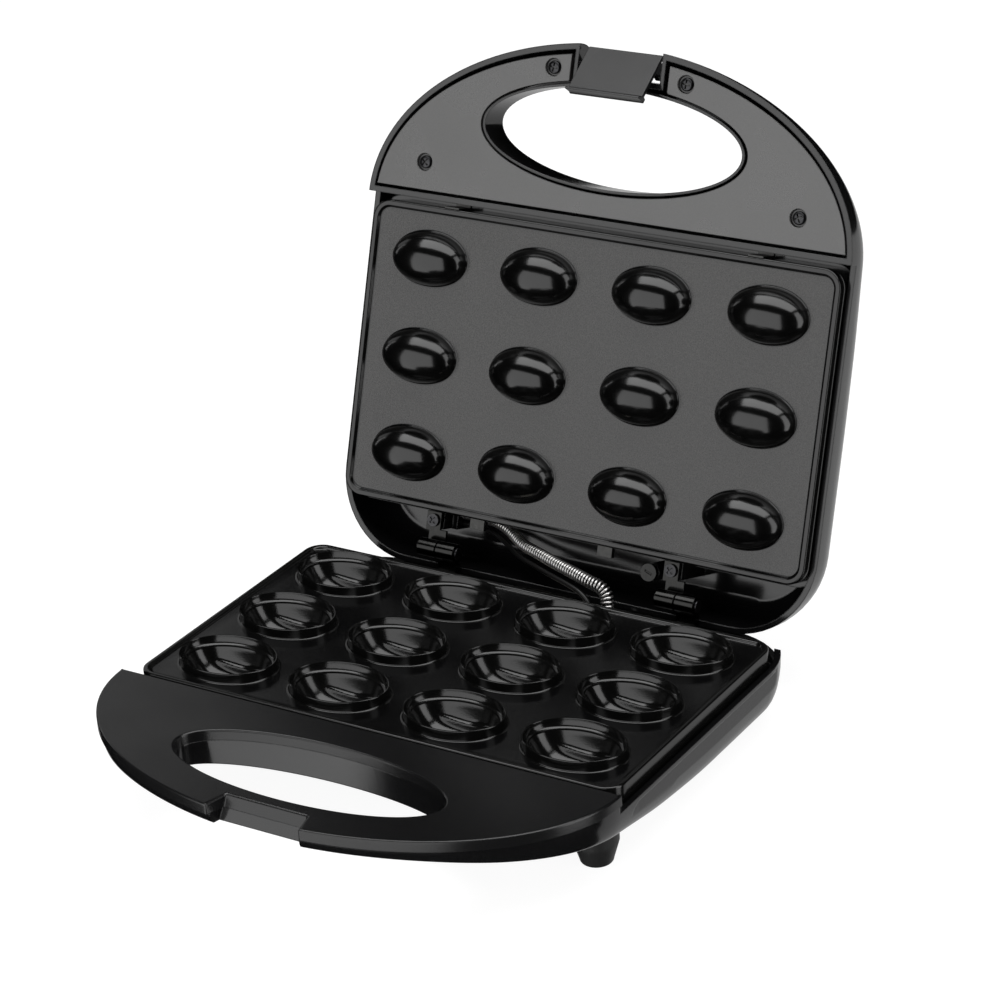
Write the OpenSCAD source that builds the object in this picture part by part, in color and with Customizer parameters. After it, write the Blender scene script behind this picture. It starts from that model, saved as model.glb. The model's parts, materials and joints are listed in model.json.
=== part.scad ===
// Electric nut cookie maker, hinged lid, twelve shells a batch.
// Millimetres, +Z up, +X to the right of someone at the handle, who stands at -Y.
// Pieces are drawn in a grid frame first: zero at the centre of the cup grid, at the height of
// the cup rims, with the lid shut. place() lifts them onto their feet, and on_lid() opens the lid.

/* [Whole appliance] */
// Height of the cup rims above the table
rim_height = 40.5; // [38:0.5:60]
// How far the centre of the cup grid sits in front of the origin
grid_setback = 10.1; // [0:0.1:30]
// Distance from the plates' ends to the outside of both shells
shell_side = 3.4; // [3.4:0.1:6]
// Distance from the plates' rear side to the rear edge of both shells
rear_depth = 25.2; // [25:0.1:32]
// Radius of the rear corners of both shells
corner_r = 36; // [20:0.5:37]
// Wall of the moulded shells
wall = 2.4; // [1.6:0.1:3]
// Overrun of every cut
over = 1; // [0.5:0.1:2]

/* [Handles] */
// How far the lower handle's cover stands out beside the shells
handle_side = 1.1; // [0.6:0.1:1.6]
// How far the handles reach forward of their widest line
handle_reach = 74.6; // [70:0.2:90]
// Distance from the plates' front side to the widest line of the handles
handle_gap = 1.8; // [1.6:0.1:2]
// Distance from that line to the straight rear edge of the handles
handle_step = 0.8; // [0.8:0.1:2]
// Distance of the lower hand hole's centre behind the middle of the handle's reach
grip_shift = 0.2; // [0:0.1:1]
// Half length of the lower hand hole
grip_half_l = 60.2; // [40:0.5:70]
// Width of the handle left in front of and behind the lower hand hole
grip_frame = 16.5; // [16:0.1:22]
// Bevel around the lower hand hole
grip_bevel = 0.8; // [0.3:0.1:1.5]
// Distance of the upper hand hole's centre behind the lower one's, lid shut
lid_grip_shift = 0.7; // [0.4:0.1:1]
// Half length of the upper hand hole
lid_grip_half_l = 60.3; // [40:0.5:70]
// How much the upper hand hole's half width is less than the lower one's
lid_grip_less = 0.2; // [0:0.1:0.6]
// Wall around the lower hand hole
grip_wall = 1.6; // [1:0.1:2.4]
// Wall around the upper hand hole
lid_grip_wall = 1.2; // [0.8:0.1:1.8]

/* [Cup grid] */
// Spacing of the cups across the appliance
pitch_x = 53.5; // [50:0.5:60]
// Spacing of the cups from front to back
pitch_y = 41.6; // [38:0.2:50]
// Columns of cups
columns = 4; // [3:1:5]
// Rows of cups
rows = 3; // [3:1:4]
// Half length of a cup's raised collar
collar_half_l = 21.5; // [20:0.1:24]
// Half width of a cup's raised collar
collar_half_w = 15.85; // [14.6:0.05:18]
// Height of the collar above the lower plate's floor
collar_h = 4.5; // [2:0.1:6]
// Width of the thin raised line on the collar
collar_line = 0.9; // [0.5:0.1:1.5]
// Step down inside that line
collar_step = 0.6; // [0.2:0.1:1]
// Half length of the cup's mouth
cup_half_l = 19.3; // [16:0.1:20]
// Half width of the cup's mouth
cup_half_w = 13.8; // [12.5:0.1:14]
// Depth of the straight mouth above the crescent ledges
cup_ledge_drop = 3; // [1.5:0.1:4]
// Half width and depth of the bowl below the ledges
bowl_r = 12.4; // [12:0.1:12.4]
// Thickness of the rib in the bowl that parts the two halves of the nut
nut_rib_t = 1.4; // [0.8:0.1:2.5]
// Height of that rib in the middle
nut_rib_h = 2.2; // [1:0.1:4]
// Half length of that rib
nut_rib_half_l = 12; // [6:0.5:14]

/* [Plates] */
// Distance from the centres of the outer cups to the plates' ends
plate_end = 30.25; // [30:0.05:34]
// Distance from the centres of the outer cups to the plates' long sides
plate_side = 22.2; // [22:0.1:26]
// Radius of the plates' corners
plate_r = 8; // [4:0.5:12]
// Thickness of the plates
plate_t = 1.8; // [1.2:0.1:2.4]
// Height of the lip around the lower plate's floor
lower_lip = 1.2; // [0.5:0.1:2]
// Height of the lip around the upper plate's face
upper_lip = 1.6; // [0.5:0.1:1.8]
// Width of both lips
lip_w = 2.8; // [2.5:0.1:4]
// Depth of the plates' skirts below the lips
skirt_h = 10; // [8:0.2:11]
// Height of the upper plate's face above the cup rims, lid shut
face_gap = 0.7; // [0.4:0.1:1]
// Half length of a dome on the upper plate
dome_half_l = 17.9; // [14:0.1:17.9]
// Half width and height of a dome
dome_r = 11.4; // [9:0.1:11.4]
// Distance from the plates' long sides to the ends of the groove in the upper plate's end skirts
skirt_groove_end = 7.8; // [6:0.1:20]
// Width of that groove
skirt_groove_w = 1.6; // [1:0.1:2.5]
// Depth of that groove
skirt_groove_d = 0.6; // [0.2:0.1:1]
// Distance from the plates' long sides to their screw bosses
boss_side = 8.8; // [8:0.1:9.6]
// Radius of the plates' screw bosses
boss_r = 4; // [3.5:0.1:4.5]

/* [Lower shell] */
// Drop from the cup rims to the lower shell's rim
base_rim_drop = 10.4; // [9.5:0.1:12]
// Drop from the cup rims to the flat underside
base_drop = 31; // [28:0.5:33]
// Drop from the cup rims to the underside at the handle's tip
tip_drop = 11; // [10.5:0.1:13]
// Drop from the cup rims to the underside below the handle's rear edge
shoulder_drop = 21; // [18:0.5:24]
// How far the underside's edge is drawn in from the rim
base_draw = 6.5; // [3:0.1:8]
// Drop from the cup rims to the top of the low rear wall
rear_wall_drop = 16.8; // [16.7:0.1:20]
// Distance from the hinge's axis forward to the start of the low rear wall
rear_cut = 7.9; // [6:0.1:9]
// Width of the ledge that carries a plate
ledge_w = 4; // [2:0.2:6]
// Thickness of that ledge
ledge_t = 2; // [1.2:0.1:3]
// Depth of the long panel sunk into each side
side_panel_d = 0.8; // [0.3:0.1:1.2]
// Height of that panel
side_panel_h = 11; // [6:0.5:13]
// Gap between the rim and that panel
side_panel_gap = 2; // [1:0.1:4]
// Distance from the handles' widest line back to that panel's round front end
side_panel_start = 8.6; // [6:0.2:25]
// Thickness of the stiffening ribs in the shells
rib_t = 1.6; // [1:0.1:2.5]
// Drop from the cup rims to the top of the floor ribs
rib_drop = 19.6; // [19.6:0.1:22]
// Width of a cooling slot in the underside
vent_w = 3; // [2:0.2:5]
// Length of a cooling slot
vent_l = 26; // [10:1:34]
// Spacing of the cooling slots
vent_pitch = 9; // [7:0.5:12]
// Cooling slots in each group
vents = 5; // [2:1:6]

/* [Lower handle cover] */
// Drop from the cup rims to the top of the lower handle
cover_drop = 2; // [1.6:0.1:2.5]
// Thickness of the cover's top
cover_t = 2.2; // [1.5:0.1:3]
// Depth of the cover's skirt
cover_skirt = 4.5; // [3.5:0.1:5]
// Half width of the latch notch at the front
notch_half_w = 20.7; // [19:0.1:24]
// Half width of the latch notch at its back
notch_back_half_w = 18.4; // [18.2:0.1:22]
// Depth of the notch at its upper edge, from the handles' tip
notch_depth = 11.2; // [10:0.1:12]
// How far the notch's lower edge lies in front of its upper edge
notch_slope = 4.5; // [3:0.1:4.6]

/* [Upper shell] */
// Height of the upper shell's rim above the cup rims, lid shut
lid_rim_h = 4.2; // [3:0.1:6]
// Height of the upper shell's top above the cup rims, lid shut
lid_top_h = 27.1; // [25:0.5:32]
// Height of the upper handle's outside at its tip, lid shut
lid_tip_h = 8.5; // [7:0.1:10]
// Height of the upper handle's outside at its rear edge, lid shut
lid_shoulder_h = 20; // [16:0.5:22]
// How far the top's edge is drawn in from the rim
lid_draw = 10; // [4:0.1:12]
// Drop from the cup rims to the upper handle's inner face, lid shut
lid_face_drop = 0.8; // [0.4:0.1:1.2]
// Width of the handle's edge line
edge_line = 2.4; // [1.5:0.1:3]
// Width of the groove between that line and the cover
edge_groove = 1.2; // [0.6:0.1:2]
// Gap between the upper hand hole's wall and the cover
grip_groove = 0.6; // [0.3:0.1:1.2]
// Thickness of the upper handle's cover
lid_cover_t = 2.2; // [1.5:0.1:3]
// How far the cover lies below the edge line
lid_cover_sink = 0.3; // [0:0.1:0.6]

/* [Hinge] */
// Distance of the hinge's axis in front of the shells' rear edge
hinge_in = 9.6; // [9:0.1:10]
// Drop from the cup rims to the hinge's axis
hinge_drop = 3.7; // [3.5:0.1:4]
// Angle the lid stands open at
lid_open = 109.2; // [90:0.1:110]
// Distance of each hinge from the middle
hinge_x = 57.6; // [50:0.5:70]
// Length of one knuckle
knuckle_l = 8.6; // [6:0.1:10]
// Radius of a knuckle
knuckle_r = 4; // [3.4:0.1:4.2]
// Gap between the two knuckles of a hinge
knuckle_gap = 0.6; // [0.4:0.1:1]
// Radius of the hinge pins
pin_r = 1.6; // [1.2:0.05:2]
// Running clearance of every pin
run_fit = 0.05; // [0.03:0.01:0.08]
// Thickness of the hinge leaves
leaf_t = 1.5; // [1:0.1:2]
// Radius of the hinge pins' heads
pin_head_r = 2.6; // [2.2:0.1:3.2]
// Thickness of the hinge pins' heads
pin_head_t = 0.9; // [0.5:0.1:1.5]
// Width of the square lug that carries the hinge's screw
lug_w = 7; // [6.4:0.1:8]
// Length of that lug
lug_l = 7.5; // [6.4:0.1:8]
// Distance of the lug from the hinge's middle
lug_x = 7; // [6:0.1:8]
// Distance of the lug in front of the hinge's axis
lug_back = 11.3; // [11:0.1:11.4]
// Height of the upper leaf above the cup rims, lid shut
leaf_h = 1.1; // [0.8:0.1:2]
// Drop from the cup rims to the lower leaf's underside
low_leaf_drop = 13; // [12:0.1:14]

/* [Latch] */
// Half width of the latch plate
latch_half_w = 17.2; // [14:0.1:18]
// Thickness of the latch plate
latch_t = 1.8; // [1.2:0.1:1.8]
// Distance of the latch's pivot in front of the notch's upper edge
latch_out = 1.8; // [1.6:0.1:2.4]
// Height of the latch's pivot above the cup rims, lid shut
latch_h = 3.85; // [3.4:0.05:4.2]
// Distance from the pivot to the latch plate's inner face
latch_stand = 3.4; // [3.3:0.1:4]
// Reach of the latch plate above its pivot
latch_up = 5.35; // [4:0.05:6]
// Angle the latch leans inwards at rest
latch_lean = 51.4; // [30:0.1:54]
// Depth of the hooked lip
lip_reach = 1.5; // [1:0.1:2]
// Thickness of the hooked lip
lip_t = 2.1; // [1.2:0.1:2.4]
// Gap between the lip and the handle's underside, latched
lip_gap = 0.4; // [0.2:0.1:0.8]
// How far the finger lip below it stands out
latch_flare = 2; // [0.5:0.1:2.5]
// Thickness of the latch's ears
ear_t = 2; // [1.5:0.1:3]
// Radius of the latch's ears
ear_r = 3; // [2.4:0.1:3.1]
// Thickness of the cheeks that hold the latch's pin
cheek_t = 1.7; // [1.5:0.1:2.4]
// Radius of the latch's pin
latch_pin_r = 1.25; // [1:0.05:1.4]
// Half width of the upper latch notch
lid_notch_half_w = 19.4; // [18.6:0.1:21]
// Width of the groove between the notch's cheeks and the cover
notch_groove = 1.2; // [0.6:0.1:1.6]
// Distance of the upper latch notch's back behind the lower notch's upper edge
lid_notch_in = 2.2; // [2:0.1:3]
// Mean radius of the latch spring
latch_spring_r = 1.8; // [1.8:0.1:2.2]
// Wire thickness of the latch spring
latch_wire = 0.6; // [0.4:0.05:0.7]
// Spacing of the latch spring's curls
latch_spring_pitch = 1.2; // [1.1:0.05:1.5]
// Curls of the latch spring
latch_curls = 4; // [2:1:6]

/* [Heating] */
// Radius of the heater tubes
heater_r = 3.2; // [2.5:0.1:3.2]
// Bend radius of the heater tubes
heater_bend = 8; // [6:0.5:10]
// Gap between the heater tubes' bend and the plates' skirt
heater_wall_gap = 0.7; // [0.4:0.1:1]
// Gap between heater tube and plate
heater_gap = 0.1; // [0.05:0.05:0.3]
// Length of the ceramic beads at the heaters' ends
bead_l = 6; // [4:0.5:8]
// Radius of those beads
bead_r = 2.5; // [2:0.1:3]
// Length of the contact pins beyond the beads
contact_l = 7; // [4:0.5:8]
// Radius of those pins
contact_r = 1.1; // [0.8:0.1:1.4]
// Distance from the plates' ends to the reflector sheets' ends
reflector_side = 12.5; // [9:0.5:20]
// Half width of the reflector sheets
reflector_half_w = 43; // [38:1:45]
// Thickness of the reflector sheets
reflector_t = 0.6; // [0.4:0.1:1]
// Height of the reflectors' turned-up edges
reflector_edge = 1.5; // [0.8:0.1:1.8]
// Height of the upper reflector above the cup rims, lid shut
reflector_h = 14; // [12:0.5:16]
// Width of the tabs that hold the upper plate
tab_w = 7; // [4:0.5:9]
// Thickness of those tabs
tab_t = 0.8; // [0.5:0.1:1]
// Sideways distance of the two front tabs
tab_x = 71.8; // [60:0.2:80]
// Sideways place of the left rear tab
rear_tab_left = -47.5; // [-52:0.5:-40]
// Sideways place of the right rear tab
rear_tab_right = 15; // [8:0.5:30]
// Length of the rear tabs' feet
rear_tab_foot = 6; // [3:0.5:7]
// Radius of the thermostat
thermostat_r = 8; // [6:0.2:8]
// Height of the thermostat
thermostat_h = 7; // [5:0.5:9]
// Radius of the thermal fuse
fuse_r = 2.2; // [1.6:0.1:3]
// Length of the thermal fuse
fuse_l = 18; // [12:1:24]

/* [Wiring] */
// Distance of the wires' outermost run inside the middle of the hinge
wire_in = 4.1; // [3:0.1:6]
// Outer radius of the wound conduit that crosses the hinge
conduit_r = 2.75; // [2.4:0.05:3]
// Wire thickness of the conduit
conduit_wire = 0.8; // [0.6:0.05:0.85]
// Spacing of the conduit's curls on the inner side of its bends
conduit_pitch = 1.35; // [1.3:0.05:2]
// Radius of the thin lead beside the conduit
lead_r = 1.1; // [0.8:0.1:1.2]
// Length of the terminal block
block_l = 24; // [16:1:30]
// Depth of the terminal block
block_d = 9; // [7:0.5:10]
// Height of the terminal block
block_h = 8; // [6:0.5:9]
// Radius of the cord inlet
inlet_r = 3.2; // [2.5:0.1:3.5]
// Wall of the cord bushing
bushing_wall = 1.5; // [1:0.1:1.8]
// Length of the cord bushing
bushing_l = 11; // [8:0.5:14]
// Distance of the cord inlet from the middle
inlet_x = 5; // [0:1:15]

/* [Lamps] */
// Distance of each lamp from the middle
lamp_x = 12; // [9:1:20]
// Distance of the lamps behind the plates' front side
lamp_side = 9.8; // [9:0.1:13]
// Radius of a lamp's lens
lens_r = 3.4; // [2.6:0.1:4]
// Height of a lens above the shell
lens_up = 1.4; // [0.6:0.1:2]
// Length of a lens inside its socket
lens_l = 5; // [4:0.5:7]
// Length of a lamp
lamp_l = 7; // [5:0.5:9]

/* [Feet] */
// Distance of the front feet from the outside of the shells
front_foot_side = 17.5; // [17:0.1:24]
// Distance of the front feet behind the handles' widest line
front_foot_back = 9.3; // [9:0.1:14]
// Distance of the rear feet from the outside of the shells
rear_foot_side = 29.9; // [28:0.1:34]
// Distance of the rear feet in front of the shells' rear edge
rear_foot_in = 21; // [20:0.5:30]
// Radius of a foot at its root
foot_root_r = 9; // [7:0.1:9.5]
// Radius of a foot at the table
foot_tip_r = 6.6; // [5:0.1:8]
// Rounding at the foot's lower edge
foot_round = 1.6; // [0.8:0.1:2.5]
// Depth of the foot's seat above the underside
foot_seat = 2.2; // [1.8:0.1:3]

/* [Screws] */
// Radius of the cover screws' heads
screw_head_r = 2.75; // [2.2:0.05:3.2]
// Height of the cover screws' heads
screw_head_h = 1.2; // [0.8:0.1:1.6]
// Radius of the screws' shanks
screw_r = 1.4; // [1.1:0.05:1.6]
// Radius of the sunk rings around the cover screws
screw_sink_r = 3.65; // [3.3:0.05:4.2]
// Width of the driver recess
driver_w = 0.8; // [0.5:0.1:1]
// Length of the driver recess
driver_l = 3.4; // [2.4:0.1:4]
// Depth of the driver recess
driver_d = 0.6; // [0.3:0.1:0.8]
// Distance of the rear pair of handle screws from the lower handle's side
screw_rear_side = 27; // [25:0.5:31]
// Distance from the handles' widest line to that pair
screw_rear_out = 16.1; // [14:0.1:18]
// Sideways distance of the front pair of handle screws
screw_front_x = 31; // [28:0.5:36]
// Distance of that pair from the handles' tip
screw_front_in = 12.2; // [11.4:0.1:13]
// Radius of the screw bosses in the handles
handle_boss_r = 3.4; // [3:0.1:4]

/* [Hidden] */
// Facets of large and small circles
fn_big = 96;
fn_small = 40;
// Points around one oval
oval_n = 48;
// A size larger than the whole appliance, for half-space cuts
big = 400;
// Seat clearance between pieces that are pushed together
seat = 0.1;
// Sideways places, which all follow from the cups
plate_half_l = (columns - 1) * pitch_x / 2 + plate_end;
shell_half_w = plate_half_l + shell_side;
handle_half_w = shell_half_w + handle_side;
boss_x = pitch_x * (columns - 2) / 2;
reflector_half_l = plate_half_l - reflector_side;
front_foot_x = shell_half_w - front_foot_side;
rear_foot_x = shell_half_w - rear_foot_side;
screw_rear_x = handle_half_w - screw_rear_side;
wire_span = hinge_x - wire_in;
// Places from front to back, which follow from the cups too
plate_half_w = (rows - 1) * pitch_y / 2 + plate_side;
skirt_groove_l = 2 * (plate_half_w - skirt_groove_end);
boss_y = plate_half_w - boss_side;
rear_reach = plate_half_w + rear_depth;
hinge_back = rear_reach - hinge_in;
rear_cut_y = hinge_back - rear_cut;
rear_foot_y = rear_reach - rear_foot_in;
handle_line = plate_half_w + handle_gap;
handle_back = handle_line + handle_step;
lamp_y = plate_half_w - lamp_side;
front_foot_y = handle_line - front_foot_back;
side_panel_front = handle_line - side_panel_start;
grip_y = handle_line + handle_reach / 2 - grip_shift;
grip_half_w = handle_reach / 2 - grip_frame;
lid_grip_y = grip_y - lid_grip_shift;
lid_grip_half_w = grip_half_w - lid_grip_less;
screw_rear_y = handle_line + screw_rear_out;
screw_front_y = handle_line + handle_reach - screw_front_in;
notch_top_y = handle_line + handle_reach - notch_depth;
notch_low_y = notch_top_y + notch_slope;
lid_notch_back = notch_top_y - lid_notch_in;
latch_y = notch_top_y + latch_out;
// Heights, as drops from the cup rims, that follow from the sizes above
floor_z = -collar_h;
lower_lip_z = floor_z + lower_lip;
lower_skirt_z = lower_lip_z - skirt_h;
upper_lip_z = face_gap - upper_lip;
upper_skirt_z = upper_lip_z + skirt_h;
cover_z = -cover_drop;
tray_z = cover_z - cover_skirt;
hinge_y = hinge_back;
hinge_z = -hinge_drop;
latch_pivot_y = -latch_y;
lip_z = -tip_drop - lip_gap;
plate_inner_l = plate_half_l - plate_t;
plate_inner_w = plate_half_w - plate_t;
notch_flat_y = -notch_top_y + wall;
foot_z = -rim_height;

// Half outline of a shell: the half-round handle, the straight side and the rear corner.
// Shares of the straight side where the underside bends.
side_shares = [0.12, 0.3, 0.5, 0.72];
handle_steps = 16;
corner_steps = 7;
side_start = -handle_line;
side_end = rear_reach - corner_r;
// The list holds [x, y] for the right half, from the front to the back, drawn in by e
function rim_half(e, a, b) = concat(
    [for (i = [1:handle_steps]) let (q = 90 * i / handle_steps)
        [(a - e) * sin(q), side_start - (b - e) * cos(q)]],
    [for (s = side_shares) [shell_half_w - e, side_start + s * (side_end - side_start)]],
    [for (i = [0:corner_steps]) let (q = 90 * i / corner_steps)
        [shell_half_w - corner_r + (corner_r - e) * cos(q), side_end + (corner_r - e) * sin(q)]]);
// Heights of the underside and of the lid's top, front to back
under_table = [[-handle_line - handle_reach - over, -tip_drop], [-notch_top_y, -tip_drop],
    [-handle_back, -shoulder_drop], [-handle_back / 2, -(shoulder_drop + 2 * base_drop) / 3],
    [0, -base_drop], [rear_reach + over, -base_drop]];
top_table = [[-handle_line - handle_reach - over, lid_tip_h], [-notch_top_y, lid_tip_h],
    [-handle_back, lid_shoulder_h], [-handle_back / 2, (lid_shoulder_h + 3 * lid_top_h) / 4],
    [0, lid_top_h], [rear_reach + over, lid_top_h]];
// Shares of the height and of the draw at the rings of a shell
ring_height_shares = [0, 0.4, 0.72, 0.92, 1];
ring_draw_shares = [0, 0.06, 0.28, 0.62, 1];
least_draw_share = 0.3;
// One ring of a shell: from level z0 towards the table of heights, moved in by skin
function ring(k, z0, table, full, draw, a, b, skin) = let (
    h = ring_height_shares[k],
    half0 = rim_half(0, a, b),
    tip0 = -handle_line - b,
    es = [for (p = half0) skin + draw * ring_draw_shares[k]
        * max(least_draw_share, min(1, abs(lookup(p[1], table) - z0) / full))],
    right = [for (i = [0:len(half0) - 1]) rim_half(es[i], a, b)[i]],
    up = sign(lookup(0, table) - z0),
    lift = function (y) z0 + h * (lookup(y, table) - up * skin - z0))
    concat([[0, -handle_line - (b - es[0]), lift(tip0)]],
        [for (p = right) [p[0], p[1], lift(p[1])]],
        [for (i = [len(right) - 1:-1:0]) [-right[i][0], right[i][1], lift(right[i][1])]]);
// Strips that close a ring from its front point to its rear edge
function cap(n, first, flip) = concat(
    [flip ? [first, first + 1, first + n - 1] : [first, first + n - 1, first + 1]],
    [for (i = [1:(n - 3) / 2]) let (a = first + i, b = first + i + 1, c = first + n - i - 1,
        d = first + n - i) flip ? [a, b, c, d] : [a, d, c, b]]);
function band(n, k, flip) = [for (i = [0:n - 1]) let (a = k * n + i, b = k * n + (i + 1) % n,
    c = a + n, d = b + n) each (flip ? [[a, c, b], [b, c, d]] : [[a, b, c], [b, d, c]])];

// A moulded form that runs from level z0 to the heights in the table
module tub(z0, table, full, draw, a, b, skin) {
    rings = [for (k = [0:len(ring_height_shares) - 1]) ring(k, z0, table, full, draw, a, b, skin)];
    n = len(rings[0]);
    last = len(rings) - 1;
    down = lookup(0, table) < z0;
    polyhedron(points = [for (r = rings) each r],
        faces = concat(cap(n, 0, !down), [for (k = [0:last - 1]) each band(n, k, down)],
            cap(n, last * n, down)), convexity = 6);
}

module place() { translate([0, -grid_setback, rim_height]) children(); }
module on_lid() {
    place() translate([0, hinge_y, hinge_z]) rotate([-lid_open, 0, 0])
        translate([0, -hinge_y, -hinge_z]) children();
}
module both_sides() { for (s = [-1, 1]) scale([s, 1, 1]) children(); }
module at_hinges() { for (s = [-1, 1]) translate([s * hinge_x, hinge_y, hinge_z]) children(); }
module at_cups() {
    for (i = [0:columns - 1]) for (j = [0:rows - 1])
        translate([(i - (columns - 1) / 2) * pitch_x, (j - (rows - 1) / 2) * pitch_y, 0]) children();
}
module at_bosses() { for (s = [-1, 1]) for (t = [-1, 1]) translate([s * boss_x, t * boss_y, 0]) children(); }
module at_handle_screws() {
    for (s = [-1, 1]) {
        translate([s * screw_rear_x, -screw_rear_y, 0]) children();
        translate([s * screw_front_x, -screw_front_y, 0]) children();
    }
}
function oval(a, b, n = oval_n) = [for (i = [0:n - 1]) [a * cos(360 * i / n), b * sin(360 * i / n)]];
module oval_bar(a, b, z0, z1) { translate([0, 0, z0]) linear_extrude(z1 - z0) polygon(oval(a, b)); }
module plate_outline(e) {
    r = plate_r - e;
    square([2 * (plate_half_l - e) - 2 * r, 2 * (plate_half_w - e)], center = true);
    square([2 * (plate_half_l - e), 2 * (plate_half_w - e) - 2 * r], center = true);
    for (s = [-1, 1]) for (t = [-1, 1])
        translate([s * (plate_half_l - plate_r), t * (plate_half_w - plate_r)])
            circle(r, $fn = fn_big);
}
module plate_slab(e, z0, z1) { translate([0, 0, z0]) linear_extrude(z1 - z0) plate_outline(e); }
// The half-round outline of a handle, drawn in by e, with its rear edge drawn in by f
module handle_outline(e, f) {
    intersection() {
        translate([0, -handle_line]) polygon([for (i = [0:2 * handle_steps])
            let (q = 180 * i / (2 * handle_steps)) [-(handle_half_w - e) * cos(q),
                -(handle_reach - e) * sin(q)]]);
        translate([-big / 2, -handle_back - f - big]) square([big, big]);
    }
}
module handle_slab(e, f, z0, z1) {
    translate([0, 0, z0]) linear_extrude(z1 - z0) handle_outline(e, f);
}
// A solid of revolution along X: half length a, radius b
module spheroid(a, b) {
    rotate([0, 90, 0]) rotate_extrude($fn = fn_small)
        polygon([for (i = [0:12]) let (q = 15 * i) [b * sin(q), -a * cos(q)]]);
}
// A profile in Y and Z, extruded along X between x0 and x1
module bar_x(x0, x1) { translate([x0, 0, 0]) rotate([90, 0, 90]) linear_extrude(x1 - x0) children(); }
module rod_x(r, x0, x1) { translate([x0, 0, 0]) rotate([0, 90, 0]) cylinder(r = r, h = x1 - x0, $fn = fn_small); }
module box(x0, x1, y0, y1, z0, z1) { translate([x0, y0, z0]) cube([x1 - x0, y1 - y0, z1 - z0]); }
module rod_z(r, z0, z1) { translate([0, 0, z0]) cylinder(r = r, h = z1 - z0, $fn = fn_small); }
// A round-headed screw whose head lies below z and whose shank runs up by l
module screw_up(z, l, head_r = screw_head_r, cross = true) {
    difference() {
        union() {
            rod_z(head_r, z - screw_head_h, z);
            rod_z(screw_r, z - screw_head_h / 2, z + l);
        }
        for (q = cross ? [45, 135] : [20]) rotate([0, 0, q])
            translate([-driver_l / 2, -driver_w / 2, z - screw_head_h - over])
                cube([driver_l, driver_w, driver_d + over]);
    }
}

// Lower shell
base_full = base_drop + tray_z;
tray_in = handle_half_w - shell_half_w;
module base_form(skin, z0) {
    tub(z0, under_table, base_full, base_draw, shell_half_w, handle_reach - tray_in, skin);
}
module grip_hole(a, b, z0, z1) { translate([0, -grip_y, 0]) oval_bar(a, b, z0, z1); }
module lid_grip_hole(e, z0, z1) {
    translate([0, -lid_grip_y, 0]) oval_bar(lid_grip_half_l + e, lid_grip_half_w + e, z0, z1);
}
module latch_notch() {
    intersection() {
        translate([0, 0, -base_drop]) linear_extrude(base_drop) polygon([
            [-notch_half_w, -handle_line - handle_reach - over],
            [notch_half_w, -handle_line - handle_reach - over],
            [notch_back_half_w, -notch_top_y], [-notch_back_half_w, -notch_top_y]]);
        bar_x(-notch_half_w, notch_half_w) polygon([
            [-handle_line - handle_reach - over, over], [-notch_top_y, over],
            [-notch_top_y, cover_z], [-notch_low_y, -tip_drop], [-notch_low_y, -base_drop],
            [-handle_line - handle_reach - over, -base_drop]]);
    }
}
seat_z = lower_skirt_z;
module base_inside() {
    // ledge under the lower plate
    difference() {
        plate_slab(-ledge_w / 2, seat_z - ledge_t, seat_z);
        plate_slab(ledge_w, seat_z - ledge_t - over, seat_z + over);
    }
    // wall between the handle and the heated part
    box(-big / 2, big / 2, -handle_back - wall, -handle_back, -base_drop, tray_z);
    // wall around the hand hole
    grip_hole(grip_half_l + grip_wall, grip_half_w + grip_wall, -base_drop, tray_z);
    // thick wall behind the latch notch
    box(-notch_half_w - wall, notch_half_w + wall, -handle_line - handle_reach, notch_flat_y,
        -base_drop, tray_z);
    // screw posts for the handle cover and the plate
    at_handle_screws() rod_z(handle_boss_r, -base_drop, tray_z);
    at_bosses() rod_z(boss_r + over / 2, -base_drop, seat_z);
    // seats of the feet
    for (s = [-1, 1]) {
        translate([s * front_foot_x, -front_foot_y, 0])
            rod_z(foot_root_r + wall, -base_drop, front_seat_z + wall);
        translate([s * rear_foot_x, rear_foot_y, 0])
            rod_z(foot_root_r + wall, -base_drop, rear_seat_z + wall);
    }
    // hinge posts
    for (s = [-1, 1]) box(s * hinge_x + lug_x - lug_w, s * hinge_x + lug_x + lug_w / 2,
        hinge_y - lug_back - lug_l / 2, hinge_y - knuckle_r, -base_drop, -low_leaf_drop);
    // post that holds the conduit's lower end
    translate([conduit_x, conduit_y, 0]) rod_z(conduit_r + wall / 2, -base_drop, conduit_foot_z - conduit_wire / 2);
    // floor ribs
    for (y = [-pitch_y / 2, pitch_y / 2])
        box(-reflector_half_l, reflector_half_l, y - rib_t / 2, y + rib_t / 2, -base_drop, -rib_drop);
    for (x = [-boss_x, 0, boss_x])
        box(x - rib_t / 2, x + rib_t / 2, -handle_back, rear_cut_y - block_d, -base_drop, -rib_drop);
}
front_seat_z = lookup(-front_foot_y, under_table) + foot_seat;
rear_seat_z = -base_drop + foot_seat;
inlet_z = -(rear_wall_drop + base_drop) / 2;
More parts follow.
